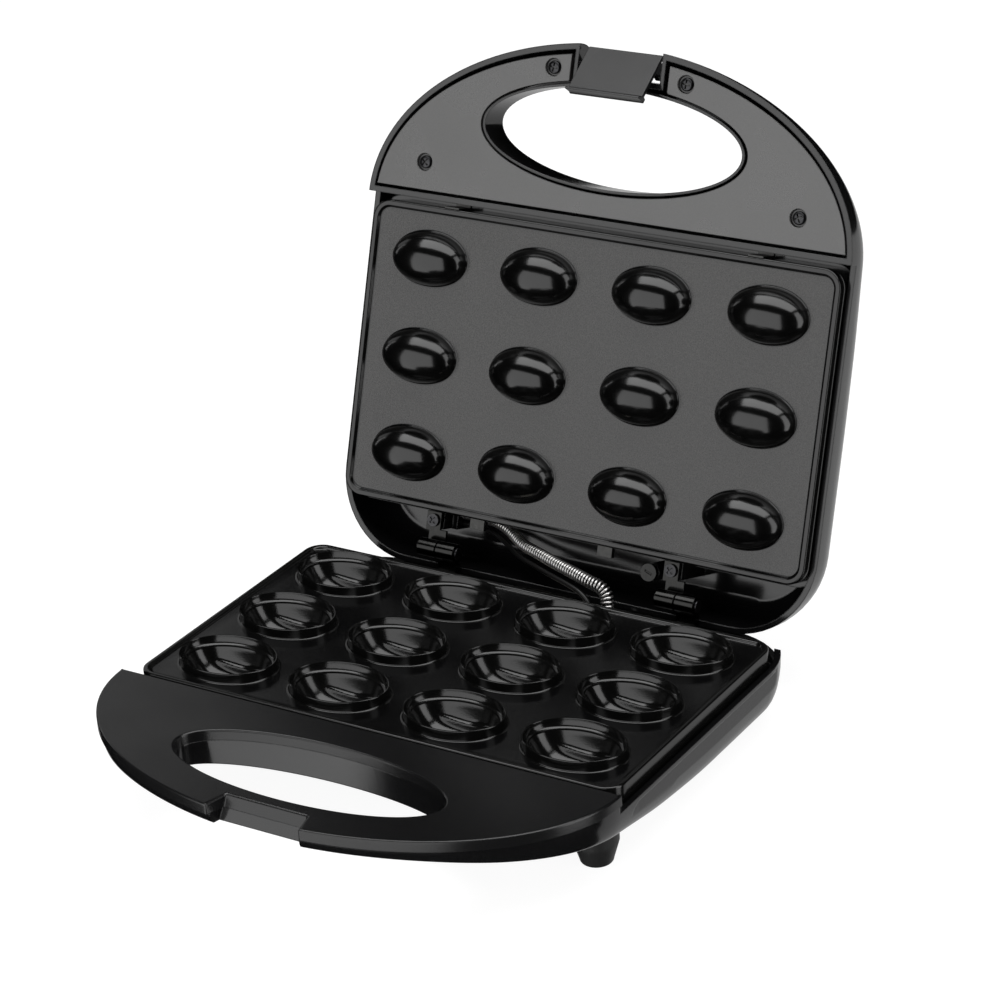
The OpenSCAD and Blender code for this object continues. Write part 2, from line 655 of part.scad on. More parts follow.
module base_shell() {
    color([0.045, 0.045, 0.05]) place() difference() {
        union() {
            difference() {
                base_form(0, tray_z);
                base_form(wall, tray_z + over);
            }
            intersection() {
                base_form(0, tray_z);
                base_inside();
            }
        }
        // rim, and the low rear wall that the open lid leans on
        box(-big, big, -handle_back, big, -base_rim_drop, big);
        box(-big, big, rear_cut_y, big, -rear_wall_drop, -base_rim_drop + over);
        grip_hole(grip_half_l, grip_half_w, -big, big);
        latch_notch();
        // long panels in the sides
        both_sides() translate([shell_half_w - side_panel_d, 0, 0]) bar_x(-wall / 2, big) {
            z1 = -base_rim_drop - side_panel_gap;
            translate([-side_panel_front + side_panel_h / 2, z1 - side_panel_h / 2])
                circle(side_panel_h / 2, $fn = fn_small);
            translate([-side_panel_front + side_panel_h / 2, z1 - side_panel_h])
                square([big, side_panel_h]);
        }
        // seats of the feet
        for (s = [-1, 1]) {
            translate([s * front_foot_x, -front_foot_y, 0])
                rod_z(foot_root_r + seat, -big, front_seat_z);
            translate([s * rear_foot_x, rear_foot_y, 0]) rod_z(foot_root_r + seat, -big, rear_seat_z);
        }
        // screw holes, with room for the heads from below
        at_handle_screws() {
            rod_z(screw_r + seat, -big, big);
            rod_z(screw_head_r + seat, -big, tray_z - wall);
        }
        at_bosses() {
            rod_z(screw_r + seat, -big, big);
            rod_z(screw_head_r + 2 * seat, -big, -base_drop + plate_screw_sink);
        }
        for (s = [-1, 1]) translate([s * hinge_x + lug_x, hinge_y - lug_back, 0])
            rod_z(screw_r, -low_leaf_drop - hinge_screw_l, over);
        translate([conduit_x, conduit_y, 0]) rod_z(conduit_r - conduit_wire, conduit_foot_z - 2 * wall, over);
        // cord inlet
        translate([inlet_x, 0, inlet_z]) rotate([-90, 0, 0])
            rod_z(inlet_r + bushing_wall + seat, rear_reach - corner_r / 2, big);
        // cooling slots
        for (s = [-1, 1]) for (i = [0:vents - 1])
            translate([s * boss_x / 2 + (i - (vents - 1) / 2) * vent_pitch - vent_w / 2,
                -vent_l / 2, -base_drop - over]) cube([vent_w, vent_l, 3 * wall]);
    }
}
plate_screw_sink = 6;
hinge_screw_l = 8;

// Lower handle
module lower_handle_cover() {
    color([0.075, 0.075, 0.08]) place() difference() {
        union() {
            handle_slab(0, 0, cover_z - cover_t, cover_z);
            difference() {
                handle_slab(0, 0, tray_z, cover_z);
                handle_slab(wall, wall, tray_z - over, cover_z + over);
            }
            intersection() {
                handle_slab(0, 0, tray_z, cover_z);
                union() {
                    grip_hole(grip_half_l + grip_wall, grip_half_w + grip_wall, tray_z, cover_z);
                    box(-notch_half_w - wall, notch_half_w + wall, -big, notch_flat_y, tray_z, cover_z);
                    at_handle_screws() rod_z(handle_boss_r, tray_z, cover_z);
                }
            }
        }
        grip_hole(grip_half_l, grip_half_w, -big, big);
        // bevel at the top of the hand hole
        grip_hole(grip_half_l + grip_bevel, grip_half_w + grip_bevel, cover_z - grip_bevel, big);
        latch_notch();
        at_handle_screws() rod_z(screw_r, tray_z - over, cover_z - wall / 2);
    }
}
module lower_cover_screws() {
    color([0.55, 0.55, 0.56]) place() at_handle_screws()
        screw_up(tray_z - wall, wall + cover_skirt - wall);
}

// Plates
module plate_pan(z_floor, z_lip, z_skirt, up) {
    // a pan that opens away from the food: floor, lip and skirt
    z_in = z_floor - up * plate_t;
    difference() {
        plate_slab(0, min(z_lip, z_skirt), max(z_lip, z_skirt));
        plate_slab(lip_w, min(z_floor, z_lip + up * over), max(z_floor, z_lip + up * over));
        plate_slab(plate_t, min(z_skirt - up * over, z_in), max(z_skirt - up * over, z_in));
    }
}
module lower_plate() {
    rib_curve = [for (i = [0:12]) let (s = i / 6 - 1) [nut_rib_half_l * s,
        -cup_ledge_drop - bowl_r * sqrt(1 - pow(nut_rib_half_l * s / cup_half_l, 2)) + nut_rib_h
            * (1 - s * s)]];
    color([0.05, 0.05, 0.052]) place() difference() {
        union() {
            plate_pan(floor_z, lower_lip_z, lower_skirt_z, 1);
            at_cups() {
                oval_bar(collar_half_l, collar_half_w, floor_z - plate_t / 2, 0);
                intersection() {
                    translate([0, 0, -cup_ledge_drop]) spheroid(cup_half_l + plate_t, bowl_r + plate_t);
                    box(-big, big, -big, big, -big, floor_z);
                }
            }
            at_bosses() rod_z(boss_r, lower_skirt_z, floor_z - plate_t / 2);
        }
        at_cups() difference() {
            union() {
                oval_bar(collar_half_l - collar_line, collar_half_w - collar_line, -collar_step, over);
                oval_bar(cup_half_l, cup_half_w, -cup_ledge_drop, over);
                translate([0, 0, -cup_ledge_drop]) spheroid(cup_half_l, bowl_r);
            }
            // rib in the bowl
            translate([0, nut_rib_t / 2, 0]) rotate([90, 0, 0]) linear_extrude(nut_rib_t)
                polygon(concat(rib_curve, [[nut_rib_half_l, -cup_ledge_drop - bowl_r - plate_t],
                    [-nut_rib_half_l, -cup_ledge_drop - bowl_r - plate_t]]));
        }
        at_bosses() rod_z(screw_r, lower_skirt_z - over, floor_z - plate_t - over / 2);
    }
}
module lower_plate_screws() {
    color([0.55, 0.55, 0.56]) place() at_bosses()
        screw_up(-base_drop + plate_screw_sink,
            base_drop - plate_screw_sink + floor_z - plate_t - over);
}
module upper_plate() {
    color([0.17, 0.17, 0.175]) on_lid() difference() {
        union() {
            plate_pan(face_gap, upper_lip_z, upper_skirt_z, -1);
            intersection() {
                at_cups() translate([0, 0, face_gap]) spheroid(dome_half_l, dome_r);
                box(-big, big, -big, big, -big, face_gap + plate_t / 2);
            }
        }
        at_cups() translate([0, 0, face_gap + plate_t])
            spheroid(dome_half_l - plate_t, dome_r - plate_t);
        // grooves with round ends in the two end skirts
        both_sides() translate([plate_half_l - skirt_groove_d, 0, upper_lip_z + skirt_h / 3])
            bar_x(0, over + skirt_groove_d) {
                square([skirt_groove_l - skirt_groove_w, skirt_groove_w], center = true);
                for (s = [-1, 1]) translate([s * (skirt_groove_l - skirt_groove_w) / 2, 0])
                    circle(skirt_groove_w / 2, $fn = fn_small);
            }
    }
}
module upper_plate_tabs() {
    color([0.6, 0.6, 0.6]) on_lid() for (s = [-1, 1]) {
        box(s * tab_x - tab_w / 2, s * tab_x + tab_w / 2, -plate_half_w - tab_t - seat / 2,
            -plate_half_w - seat / 2, upper_lip_z, upper_skirt_z);
        box(s * tab_x - tab_w / 2, s * tab_x + tab_w / 2, -handle_back, -plate_half_w - seat / 2,
            upper_skirt_z - tab_t, upper_skirt_z);
    }
    color([0.6, 0.6, 0.6]) on_lid() for (x = [rear_tab_left, rear_tab_right]) {
        box(x - tab_w / 2, x + tab_w / 2, plate_half_w + seat / 2, plate_half_w + tab_t + seat / 2,
            upper_lip_z + skirt_h / 2, upper_skirt_z);
        box(x - tab_w / 2, x + tab_w / 2, plate_half_w + seat / 2, plate_half_w + rear_tab_foot,
            upper_skirt_z - tab_t, upper_skirt_z);
    }
}

// Heaters
heater_x = plate_inner_l - heater_r - heater_wall_gap;
heater_y = pitch_y / 2;
heater_end = heater_x - bead_l - contact_l + heater_r;
module heater_tube(z) {
    translate([0, 0, z]) {
        for (s = [-1, 1]) {
            translate([0, s * heater_y, 0]) rod_x(heater_r, -heater_x + heater_bend, heater_end);
            translate([-heater_x + heater_bend, s * (heater_y - heater_bend), 0])
                rotate([0, 0, s > 0 ? 90 : 180])
                    rotate_extrude(angle = 90, $fn = fn_big) translate([heater_bend, 0])
                        circle(heater_r, $fn = fn_small);
        }
        translate([-heater_x, -heater_y + heater_bend, 0]) rotate([-90, 0, 0])
            rod_z(heater_r, 0, 2 * (heater_y - heater_bend));
    }
}
module heater_ends(z) {
    for (s = [-1, 1]) translate([0, s * heater_y, z]) {
        rod_x(bead_r, heater_end, heater_end + bead_l);
        rod_x(contact_r, heater_end + bead_l / 2, heater_end + bead_l + contact_l);
    }
}
low_heater_z = floor_z - plate_t - heater_r - heater_gap;
up_heater_z = face_gap + plate_t + heater_r + heater_gap;
module lower_heater() { color([0.5, 0.48, 0.45]) place() heater_tube(low_heater_z); }
module lower_heater_ends() { color([0.85, 0.83, 0.78]) place() heater_ends(low_heater_z); }
module upper_heater() { color([0.5, 0.48, 0.45]) on_lid() heater_tube(up_heater_z); }
module upper_heater_ends() { color([0.85, 0.83, 0.78]) on_lid() heater_ends(up_heater_z); }
module reflector_sheet(z, up) {
    za = up > 0 ? z : z - reflector_edge;
    difference() {
        box(-reflector_half_l, reflector_half_l, -reflector_half_w, reflector_half_w,
            up > 0 ? z : z - reflector_edge, up > 0 ? z + reflector_edge : z);
        box(-reflector_half_l + reflector_t, reflector_half_l - reflector_t,
            -reflector_half_w + reflector_t, reflector_half_w - reflector_t,
            up > 0 ? z + reflector_t : z - reflector_edge - over,
            up > 0 ? z + reflector_edge + over : z - reflector_t);
    }
}
module lower_reflector() { color([0.7, 0.71, 0.72]) place() reflector_sheet(-rib_drop, 1); }
module upper_reflector() { color([0.7, 0.71, 0.72]) on_lid() reflector_sheet(reflector_h, -1); }
part_y = plate_inner_w - thermostat_r - over;
blade_t = 0.8;
blade_w = 4;
module thermostat() {
    z = floor_z - plate_t;
    color([0.3, 0.28, 0.25]) place() translate([0, part_y, 0]) {
        rod_z(thermostat_r, z - thermostat_h, z - seat);
        for (s = [-1, 1]) box(s * thermostat_r / 2 - blade_t / 2, s * thermostat_r / 2 + blade_t / 2,
            -blade_w / 2, blade_w / 2, z - thermostat_h - blade_w, z - thermostat_h / 2);
    }
}
module thermal_fuse() {
    z = floor_z - plate_t - fuse_r - seat;
    color([0.75, 0.73, 0.66]) place() translate([0, -part_y, z]) {
        rod_x(fuse_r, -fuse_l / 2, fuse_l / 2);
        rod_x(fuse_r / 4, -fuse_l / 2 - blade_w, fuse_l / 2 + blade_w);
    }
}

// Wiring
block_x = -14;
block_y = rear_cut_y + block_d / 2 - over;
module terminal_block() {
    z = -base_drop + wall;
    color([0.88, 0.87, 0.83]) place() difference() {
        box(block_x - block_l / 2, block_x + block_l / 2, block_y - block_d / 2,
            block_y + block_d / 2, z, z + block_h);
        for (i = [-1, 0, 1]) translate([block_x + i * block_l / 3, 0, 0]) {
            translate([0, block_y - block_d, z + block_h / 2]) rotate([-90, 0, 0])
                rod_z(block_h / 6, 0, 2 * block_d);
            for (t = [-1, 1]) translate([0, block_y + t * block_d / 4, 0])
                rod_z(block_h / 5, z + block_h / 2, z + block_h + over);
        }
    }
}
module cord_bushing() {
    z0 = rear_reach - bushing_l * 0.75;
    color([0.06, 0.06, 0.06]) place() translate([inlet_x, 0, inlet_z]) rotate([-90, 0, 0]) difference() {
        union() {
            rod_z(inlet_r + bushing_wall, z0, z0 + bushing_l);
            rod_z(inlet_r + 2 * bushing_wall, rear_reach - base_draw * 0.08 + seat, z0 + bushing_l);
        }
        rod_z(inlet_r, z0 - over, z0 + bushing_l + over);
    }
}
// Points that the conduit's middle line follows from the base to the open lid: shares of the
// cup spacing sideways, and of a knuckle's radius back from and above the hinge's axis
conduit_shares = [[0.515, -1.5, -5.7], [0.515, -1.5, -4.3], [0.515, -1.5, -2.95],
    [0.515, -1.5, -1.55], [0.51, -1.05, -0.65], [0.455, -0.75, 0.25], [0.345, -0.75, 0.5],
    [0.185, 0, 0.7], [-0.025, 0.95, 0.75], [-0.24, 2.15, 0.9], [-0.44, 3.15, 0.85],
    [-0.57, 4.45, 1.15], [-0.725, 5.35, 1.7], [-0.895, 5.5, 1.8], [-0.99, 5.5, 1.8],
    [-1.085, 5.5, 1.8], [-1.18, 5.5, 1.8]];
// The same for the thin lead, above its start on the floor
lead_shares = [[0.4, -2, -4.1], [0.398, -1.95, -2.6], [0.37, -1.8, -1.35], [0.3, -1.4, -0.65],
    [0.17, -0.75, -0.4], [-0.04, 0.25, -0.35], [-0.25, 1.4, -0.25], [-0.45, 2.5, -0.25],
    [-0.59, 3.75, 0.05], [-0.75, 4.75, 0.6], [-0.902, 5.4, 0.65], [-0.997, 5.5, 0.65],
    [-1.092, 5.5, 0.65], [-1.187, 5.5, 0.65]];
function route(shares) = [for (q = shares)
    [q[0] * wire_span, hinge_y + q[1] * knuckle_r, hinge_z + q[2] * knuckle_r]];
conduit_points = route(conduit_shares);
low_floor_z = -base_drop + wall;
lead_x = lead_shares[0][0] * wire_span;
lead_y = hinge_y + lead_shares[0][1] * knuckle_r;
lead_points = concat([for (i = [-1:1]) [lead_x, lead_y, low_floor_z + i * knuckle_r]],
    route(lead_shares));
conduit_x = conduit_points[1][0];
conduit_y = conduit_points[1][1];
conduit_foot_z = conduit_points[1][2];
function spline(p, t) = let (i = min(floor(t), len(p) - 4), u = t - i)
    (pow(1 - u, 3) * p[i] + (3 * pow(u, 3) - 6 * u * u + 4) * p[i + 1]
    + (-3 * pow(u, 3) + 3 * u * u + 3 * u + 1) * p[i + 2] + pow(u, 3) * p[i + 3]) / 6;
function unit(v) = v / norm(v);
function slope(p, t) = unit(spline(p, min(t + 0.02, len(p) - 3)) - spline(p, max(t - 0.02, 0)));
// Running length against the spline's own measure. With r, it is the length on the inner side
// of the bends of a tube of that radius, so curls that share it evenly never close up.
measure_n = 240;
function lengths(p, r = 0) = let (m = (len(p) - 3) / measure_n,
    q = [for (i = [0:measure_n]) spline(p, i * m)], d = [for (i = [0:measure_n]) slope(p, i * m)])
    [for (i = 0, s = 0; i <= measure_n; i = i + 1,
        s = s + (i <= measure_n ? norm(q[i] - q[i - 1]) - r * norm(d[i] - d[i - 1]) : 0)) [s, i * m]];
across = [0.5, 0.5, 0.7];
// Middle of the wire at step k of a coil wound around the route
function coil_point(p, table, total, steps, r, k) = let (t = lookup(total * k / steps, table),
    d = slope(p, t), n1 = unit(across - (across * d) * d), n2 = cross(d, n1), q = 45 * k)
    spline(p, t) + r * (cos(q) * n1 + sin(q) * n2);
// A tube of m sides through points c, with rings square to the run
module tube(c, r, m) {
    n = len(c);
    run = [for (i = [0:n - 1]) unit(c[min(i + 1, n - 1)] - c[max(i - 1, 0)])];
    side = [for (i = [0:n - 1]) unit(cross(run[i], across))];
    pts = [for (i = [0:n - 1]) for (j = [0:m - 1]) c[i] + r * (cos(360 * j / m) * side[i]
        + sin(360 * j / m) * cross(run[i], side[i]))];
    polyhedron(points = pts, faces = concat([[for (j = [m - 1:-1:0]) j]],
        [for (i = [0:n - 2]) for (j = [0:m - 1]) each let (a = i * m + j, b = i * m + (j + 1) % m)
            [[a, b, b + m], [a, b + m, a + m]]],
        [[for (j = [0:m - 1]) (n - 1) * m + j]]), convexity = 10);
}
// A wound wire: rings lie along the radius, so that neighbours keep their distance
module wound(c, mid, r, m) {
    n = len(c);
    run = [for (i = [0:n - 1]) unit(c[min(i + 1, n - 1)] - c[max(i - 1, 0)])];
    out = [for (i = [0:n - 1]) let (v = c[i] - mid[i]) unit(v - (v * run[i]) * run[i])];
    pts = [for (i = [0:n - 1]) for (j = [0:m - 1]) c[i] + r * (cos(360 * j / m) * out[i]
        + sin(360 * j / m) * cross(run[i], out[i]))];
    polyhedron(points = pts, faces = concat([[for (j = [m - 1:-1:0]) j]],
        [for (i = [0:n - 2]) for (j = [0:m - 1]) each let (a = i * m + j, b = i * m + (j + 1) % m)
            [[a, b, b + m], [a, b + m, a + m]]],
        [[for (j = [0:m - 1]) (n - 1) * m + j]]), convexity = 10);
}
// Least distance between the surfaces of neighbouring curls
function least_gap(c, w) = min([for (i = [0:len(c) - 1]) for (j = [5:12])
    if (i + j < len(c)) norm(c[i + j] - c[i]) - w]);
module wiring_conduit() {
    table = lengths(conduit_points, conduit_r);
    total = table[measure_n][0];
    steps = 8 * floor(total / conduit_pitch);
    r = conduit_r - conduit_wire / 2;
    c = [for (k = [0:steps]) coil_point(conduit_points, table, total, steps, r, k)];
    mid = [for (k = [0:steps]) spline(conduit_points, lookup(total * k / steps, table))];
    echo(conduit_curls = steps / 8, conduit_length = total, conduit_gap = least_gap(c, conduit_wire));
    color([0.75, 0.75, 0.76]) place() wound(c, mid, conduit_wire / 2, 6);
}
lead_rings = 40;
module earth_lead() {
    table = lengths(lead_points);
    total = table[measure_n][0];
    c = [for (k = [0:lead_rings]) spline(lead_points, lookup(total * k / lead_rings, table))];
    color([0.05, 0.05, 0.05]) place() tube(c, lead_r, 8);
}

// Hinge
leaf_top = leaf_h + leaf_t;
module lid_hinge_leaves() {
    color([0.62, 0.62, 0.63]) on_lid() at_hinges() difference() {
        union() {
            rod_x(knuckle_r, -knuckle_l - knuckle_gap / 2, -knuckle_gap / 2);
            bar_x(-knuckle_l - knuckle_gap / 2, -knuckle_gap / 2) polygon([
                [-knuckle_r / 2, 0], [knuckle_r / 2, 0], [knuckle_r / 2, leaf_top - hinge_z],
                [-lug_back + lug_l / 2, leaf_top - hinge_z], [-lug_back + lug_l / 2, leaf_h - hinge_z],
                [-knuckle_r / 2, leaf_h - hinge_z]]);
            box(-lug_x - lug_w / 2, -lug_x + lug_w / 2, -lug_back - lug_l / 2,
                -lug_back + lug_l / 2 + over, leaf_h - hinge_z, leaf_top - hinge_z);
        }
        rod_x(pin_r + run_fit, -knuckle_l - over, over);
        translate([-lug_x, -lug_back, 0]) rod_z(screw_r + seat, 0, big);
    }
}
lid_screw_l = 9;
module lid_hinge_screws() {
    color([0.5, 0.5, 0.5]) on_lid() for (s = [-1, 1])
        translate([s * hinge_x - lug_x, hinge_y - lug_back, 0]) screw_up(leaf_h, leaf_t + lid_screw_l);
}
module base_hinge_leaves() {
    color([0.62, 0.62, 0.63]) place() at_hinges() difference() {
        union() {
            rod_x(knuckle_r, knuckle_gap / 2, knuckle_l + knuckle_gap / 2);
            bar_x(knuckle_gap / 2, knuckle_l + knuckle_gap / 2) polygon([
                [-knuckle_r / 2, 0], [knuckle_r / 2, 0], [knuckle_r / 2, -low_leaf_drop - hinge_z],
                [-lug_back + lug_l / 2, -low_leaf_drop - hinge_z],
                [-lug_back + lug_l / 2, -low_leaf_drop + leaf_t - hinge_z],
                [-knuckle_r / 2, -low_leaf_drop + leaf_t - hinge_z]]);
            box(lug_x - lug_w / 2, lug_x + lug_w / 2, -lug_back - lug_l / 2,
                -lug_back + lug_l / 2 + over, -low_leaf_drop - hinge_z, -low_leaf_drop + leaf_t - hinge_z);
        }
        rod_x(pin_r, -over, knuckle_l + over);
        translate([lug_x, -lug_back, 0]) rod_z(screw_r + seat, -big, 0);
    }
}
module base_hinge_screws() {
    color([0.5, 0.5, 0.5]) place() for (s = [-1, 1])
        translate([s * hinge_x + lug_x, hinge_y - lug_back, 0]) mirror([0, 0, 1])
            screw_up(low_leaf_drop - leaf_t, leaf_t + hinge_screw_l - seat);
}
module hinge_pins() {
    x0 = -knuckle_l - knuckle_gap / 2;
    color([0.7, 0.7, 0.71]) place() at_hinges() {
        rod_x(pin_r, x0 - pin_head_t / 2, -x0 + pin_head_t / 2);
        rod_x(pin_head_r, x0 - pin_head_t - seat, x0 - seat);
        rod_x(pin_head_r, -x0, -x0 + pin_head_t);
    }
}

// Feet
module foot(z1) {
    rotate_extrude($fn = fn_big) polygon(concat([[0, foot_z]],
        [for (i = [0:4]) let (q = 22.5 * i) [foot_tip_r - foot_round + foot_round * sin(q),
            foot_z + foot_round - foot_round * cos(q)]],
        [[foot_root_r, -base_drop], [foot_root_r, z1], [0, z1]]));
}
module front_feet() {
    color([0.04, 0.04, 0.042]) place() for (s = [-1, 1])
        translate([s * front_foot_x, -front_foot_y, 0]) foot(front_seat_z);
}
module rear_feet() {
    color([0.04, 0.04, 0.042]) place() for (s = [-1, 1])
        translate([s * rear_foot_x, rear_foot_y, 0]) foot(rear_seat_z);
}

// Upper shell
lid_face_z = -lid_face_drop;
lid_full = lid_top_h - lid_face_z;
cover_face_z = lid_face_z + lid_cover_sink;
cover_back_z = cover_face_z + lid_cover_t;
module lid_form(skin, z0) {
    tub(z0, top_table, lid_full, lid_draw, shell_half_w, handle_reach, skin);
}
lid_ledge_z = upper_skirt_z;
module lid_inside() {
    difference() {
        plate_slab(-ledge_w / 2, lid_ledge_z, lid_ledge_z + ledge_t);
        plate_slab(ledge_w, lid_ledge_z - over, lid_ledge_z + ledge_t + over);
    }
    // straight wall between the handle and the plate
    box(-big / 2, big / 2, -handle_back - wall, -handle_back, lid_face_z, lid_top_h);
    // wall around the hand hole
    lid_grip_hole(lid_grip_wall, lid_face_z, lid_top_h);
    // bosses behind the cover's screws
    at_handle_screws() rod_z(handle_boss_r, cover_back_z, lid_top_h);
    // seats of the plate's rear tabs
    for (x = [rear_tab_left, rear_tab_right]) box(x - tab_w / 2, x + tab_w / 2,
        plate_half_w + ledge_w / 4, plate_half_w + rear_tab_foot,
        upper_skirt_z, upper_skirt_z + ledge_t);
    // cheeks beside the latch
    for (s = [-1, 1]) box(min(s * lid_notch_half_w, s * (lid_notch_half_w + cheek_t)),
        max(s * lid_notch_half_w, s * (lid_notch_half_w + cheek_t)), -big, -lid_notch_back + wall,
        lid_face_z, lid_top_h);
    box(-lid_notch_half_w, lid_notch_half_w, -lid_notch_back - over, -lid_notch_back + wall, lid_face_z, lid_top_h);
    // hinge bosses and the boss of the earth screw
    for (s = [-1, 1]) box(s * hinge_x - lug_x - lug_w / 2, s * hinge_x - lug_x + lug_w / 2,
        hinge_y - lug_back - lug_l / 2, hinge_y - lug_back + lug_l / 2, leaf_top, lid_top_h);
    translate([earth_x, earth_y, 0]) rod_z(earth_r, leaf_top, lid_top_h);
    // block beside the left hinge boss that holds the upper ends of the conduit and the lead
    box(-hinge_x - lug_x + lug_w / 4, conduit_end[0] - conduit_wire / 2, conduit_end[1] - conduit_r - wall / 2,
        lead_end[1] + lead_r + wall / 2, conduit_end[2] - conduit_r - wall / 2, lid_top_h);
    // posts behind the reflector
    for (s = [-1, 1]) for (t = [-1, 1]) translate([s * reflector_half_l * 0.8, t * reflector_half_w * 0.8, 0])
        rod_z(boss_r, reflector_h, lid_top_h);
    // lamp sockets
    for (s = [-1, 1]) translate([s * lamp_x, -lamp_y, 0])
        rod_z(lens_r + wall / 2, lamp_z0, lid_top_h);
}
earth_x = 40;
earth_y = 71;
earth_r = 3.8;
lens_top_z = lookup(-lamp_y, top_table) + lens_up;
lamp_z0 = lens_top_z - lens_up - lens_l - lamp_l;
// A point of the open lid, in the shut lid's own frame
function to_lid(p) = let (dy = p[1] - hinge_y, dz = p[2] - hinge_z)
    [p[0], hinge_y + dy * cos(lid_open) - dz * sin(lid_open),
        hinge_z + dy * sin(lid_open) + dz * cos(lid_open)];
conduit_end = to_lid(conduit_points[len(conduit_points) - 2]);
lead_end = to_lid(lead_points[len(lead_points) - 2]);
module lid_shell() {
    color([0.05, 0.05, 0.055]) on_lid() difference() {
        union() {
            difference() {
                lid_form(0, lid_face_z);
                lid_form(wall, lid_face_z - over);
            }
            intersection() {
                lid_form(0, lid_face_z);
                lid_inside();
            }
        }
        // rim behind the handle
        box(-big, big, -handle_back, big, -big, lid_rim_h);
        lid_grip_hole(0, -big, big);
        box(-lid_notch_half_w, lid_notch_half_w, -big, -lid_notch_back, -big, big);
        translate([0, latch_pivot_y, latch_h])
            rod_x(latch_pin_r + seat / 5, -lid_notch_half_w - cheek_t - over, lid_notch_half_w + cheek_t + over);
        at_handle_screws() rod_z(screw_r, -big, lookup(-screw_front_y, top_table) - wall);
        for (s = [-1, 1]) translate([s * hinge_x - lug_x, hinge_y - lug_back, 0])
            rod_z(screw_r, 0, leaf_top + lid_screw_l);
        translate([earth_x, earth_y, 0]) rod_z(screw_r, 0, leaf_top + lid_screw_l);
        for (s = [-1, 1]) translate([s * lamp_x, -lamp_y, 0]) rod_z(lens_r + seat, lamp_z0 - over, big);
    }
}
module lid_handle_cover() {
    color([0.2, 0.2, 0.205]) on_lid() difference() {
        handle_slab(edge_line + edge_groove, wall + edge_groove, cover_face_z, cover_back_z);
        lid_grip_hole(lid_grip_wall + grip_groove, -big, big);
        box(-lid_notch_half_w - cheek_t - notch_groove, lid_notch_half_w + cheek_t + notch_groove, -big,
            -lid_grip_y - lid_grip_half_w * 0.75, -big, big);
        at_handle_screws() {
            rod_z(screw_r + seat, -big, big);
            rod_z(screw_sink_r, -big, cover_face_z + screw_head_h + screw_sink);
        }
    }
}
screw_sink = 0.3;
module lid_cover_screws() {
    color([0.35, 0.35, 0.35]) on_lid() at_handle_screws()
        screw_up(cover_face_z + screw_head_h + screw_sink, cover_screw_l);
}
cover_screw_l = 4;
module earth_screw() {
    color([0.6, 0.6, 0.6]) on_lid() translate([earth_x, earth_y, 0])
        screw_up(leaf_top, lid_screw_l - seat, earth_r, false);
}
module indicator_lenses() {
    color([0.75, 0.1, 0.06]) on_lid() for (s = [-1, 1]) translate([s * lamp_x, -lamp_y, 0])
        rotate_extrude($fn = fn_small) polygon([[0, lens_top_z - lens_up - lens_l],
            [lens_r, lens_top_z - lens_up - lens_l], [lens_r, lens_top_z - lens_up / 2],
            [lens_r * 0.8, lens_top_z - lens_up / 4], [lens_r * 0.4, lens_top_z], [0, lens_top_z]]);
}
module indicator_lamps() {
    color([0.85, 0.8, 0.7]) on_lid() for (s = [-1, 1]) translate([s * lamp_x, -lamp_y, 0]) {
        rod_z(lens_r - seat, lamp_z0, lamp_z0 + lamp_l - seat);
        for (t = [-1, 1]) translate([t * lens_r / 2, 0, 0]) rod_z(lens_r / 10, lamp_z0 - lamp_l / 2, lamp_z0 + over);
    }
}

// Latch
// Drawn latched, then leaned back about its pin to where it rests
module on_latch() {
    on_lid() translate([0, latch_pivot_y, latch_h]) rotate([latch_lean, 0, 0]) children();
}
module latch() {
    z0 = lip_z - lip_t - latch_h;
    color([0.09, 0.09, 0.095]) on_latch() difference() {
        union() {
            box(-latch_half_w, latch_half_w, -latch_stand - latch_t, -latch_stand, z0, latch_up);
            box(-latch_half_w, latch_half_w, -latch_stand - latch_t / 2, -latch_stand + lip_reach,
                z0, z0 + lip_t);
            bar_x(-latch_half_w, latch_half_w) polygon([[-latch_stand, z0 + lip_t / 2], [-latch_stand, z0],
                [-latch_stand - latch_t - latch_flare, z0 - latch_flare * 0.7],
                [-latch_stand - latch_t - latch_flare, z0 - latch_flare * 0.7 + lip_t / 2],
                [-latch_stand - latch_t, z0 + lip_t / 2]]);
            for (s = [-1, 1]) bar_x(min(s * latch_half_w, s * (latch_half_w - ear_t)),
                max(s * latch_half_w, s * (latch_half_w - ear_t))) {
                circle(ear_r, $fn = fn_small);
                translate([-latch_stand - latch_t / 2, -ear_r]) square([latch_stand + latch_t / 2, 2 * ear_r]);
            }
        }
        rod_x(latch_pin_r + run_fit, -big, big);
    }
}
module latch_pin() {
    color([0.7, 0.7, 0.71]) on_lid() translate([0, latch_pivot_y, latch_h])
        rod_x(latch_pin_r, -lid_notch_half_w - cheek_t, lid_notch_half_w + cheek_t);
}
module latch_spring() {
    steps = 8 * latch_curls + 4;
    x0 = latch_half_w / 3;
    x1 = x0 + latch_spring_pitch * steps / 8;
    axis = [for (k = [0:steps]) [x0 + latch_spring_pitch * k / 8, 0, 0]];
    curls = [for (k = [0:steps]) axis[k] + latch_spring_r * [0, sin(45 * k), -cos(45 * k)]];
    // straight legs that bear on the latch plate
    leg = [for (i = [3:-1:1]) i * latch_stand / 3];
    c = concat([for (l = leg) [x0, -l, -latch_spring_r]], curls,
        [for (i = [2:-1:0]) [x1, -leg[i], latch_spring_r]]);
    mid = concat([for (l = leg) [x0, -l, 0]], axis, [for (i = [2:-1:0]) [x1, -leg[i], 0]]);
    echo(latch_spring_gap = least_gap(curls, latch_wire));
    color([0.7, 0.7, 0.71]) on_latch() wound(c, mid, latch_wire / 2, 6);
}

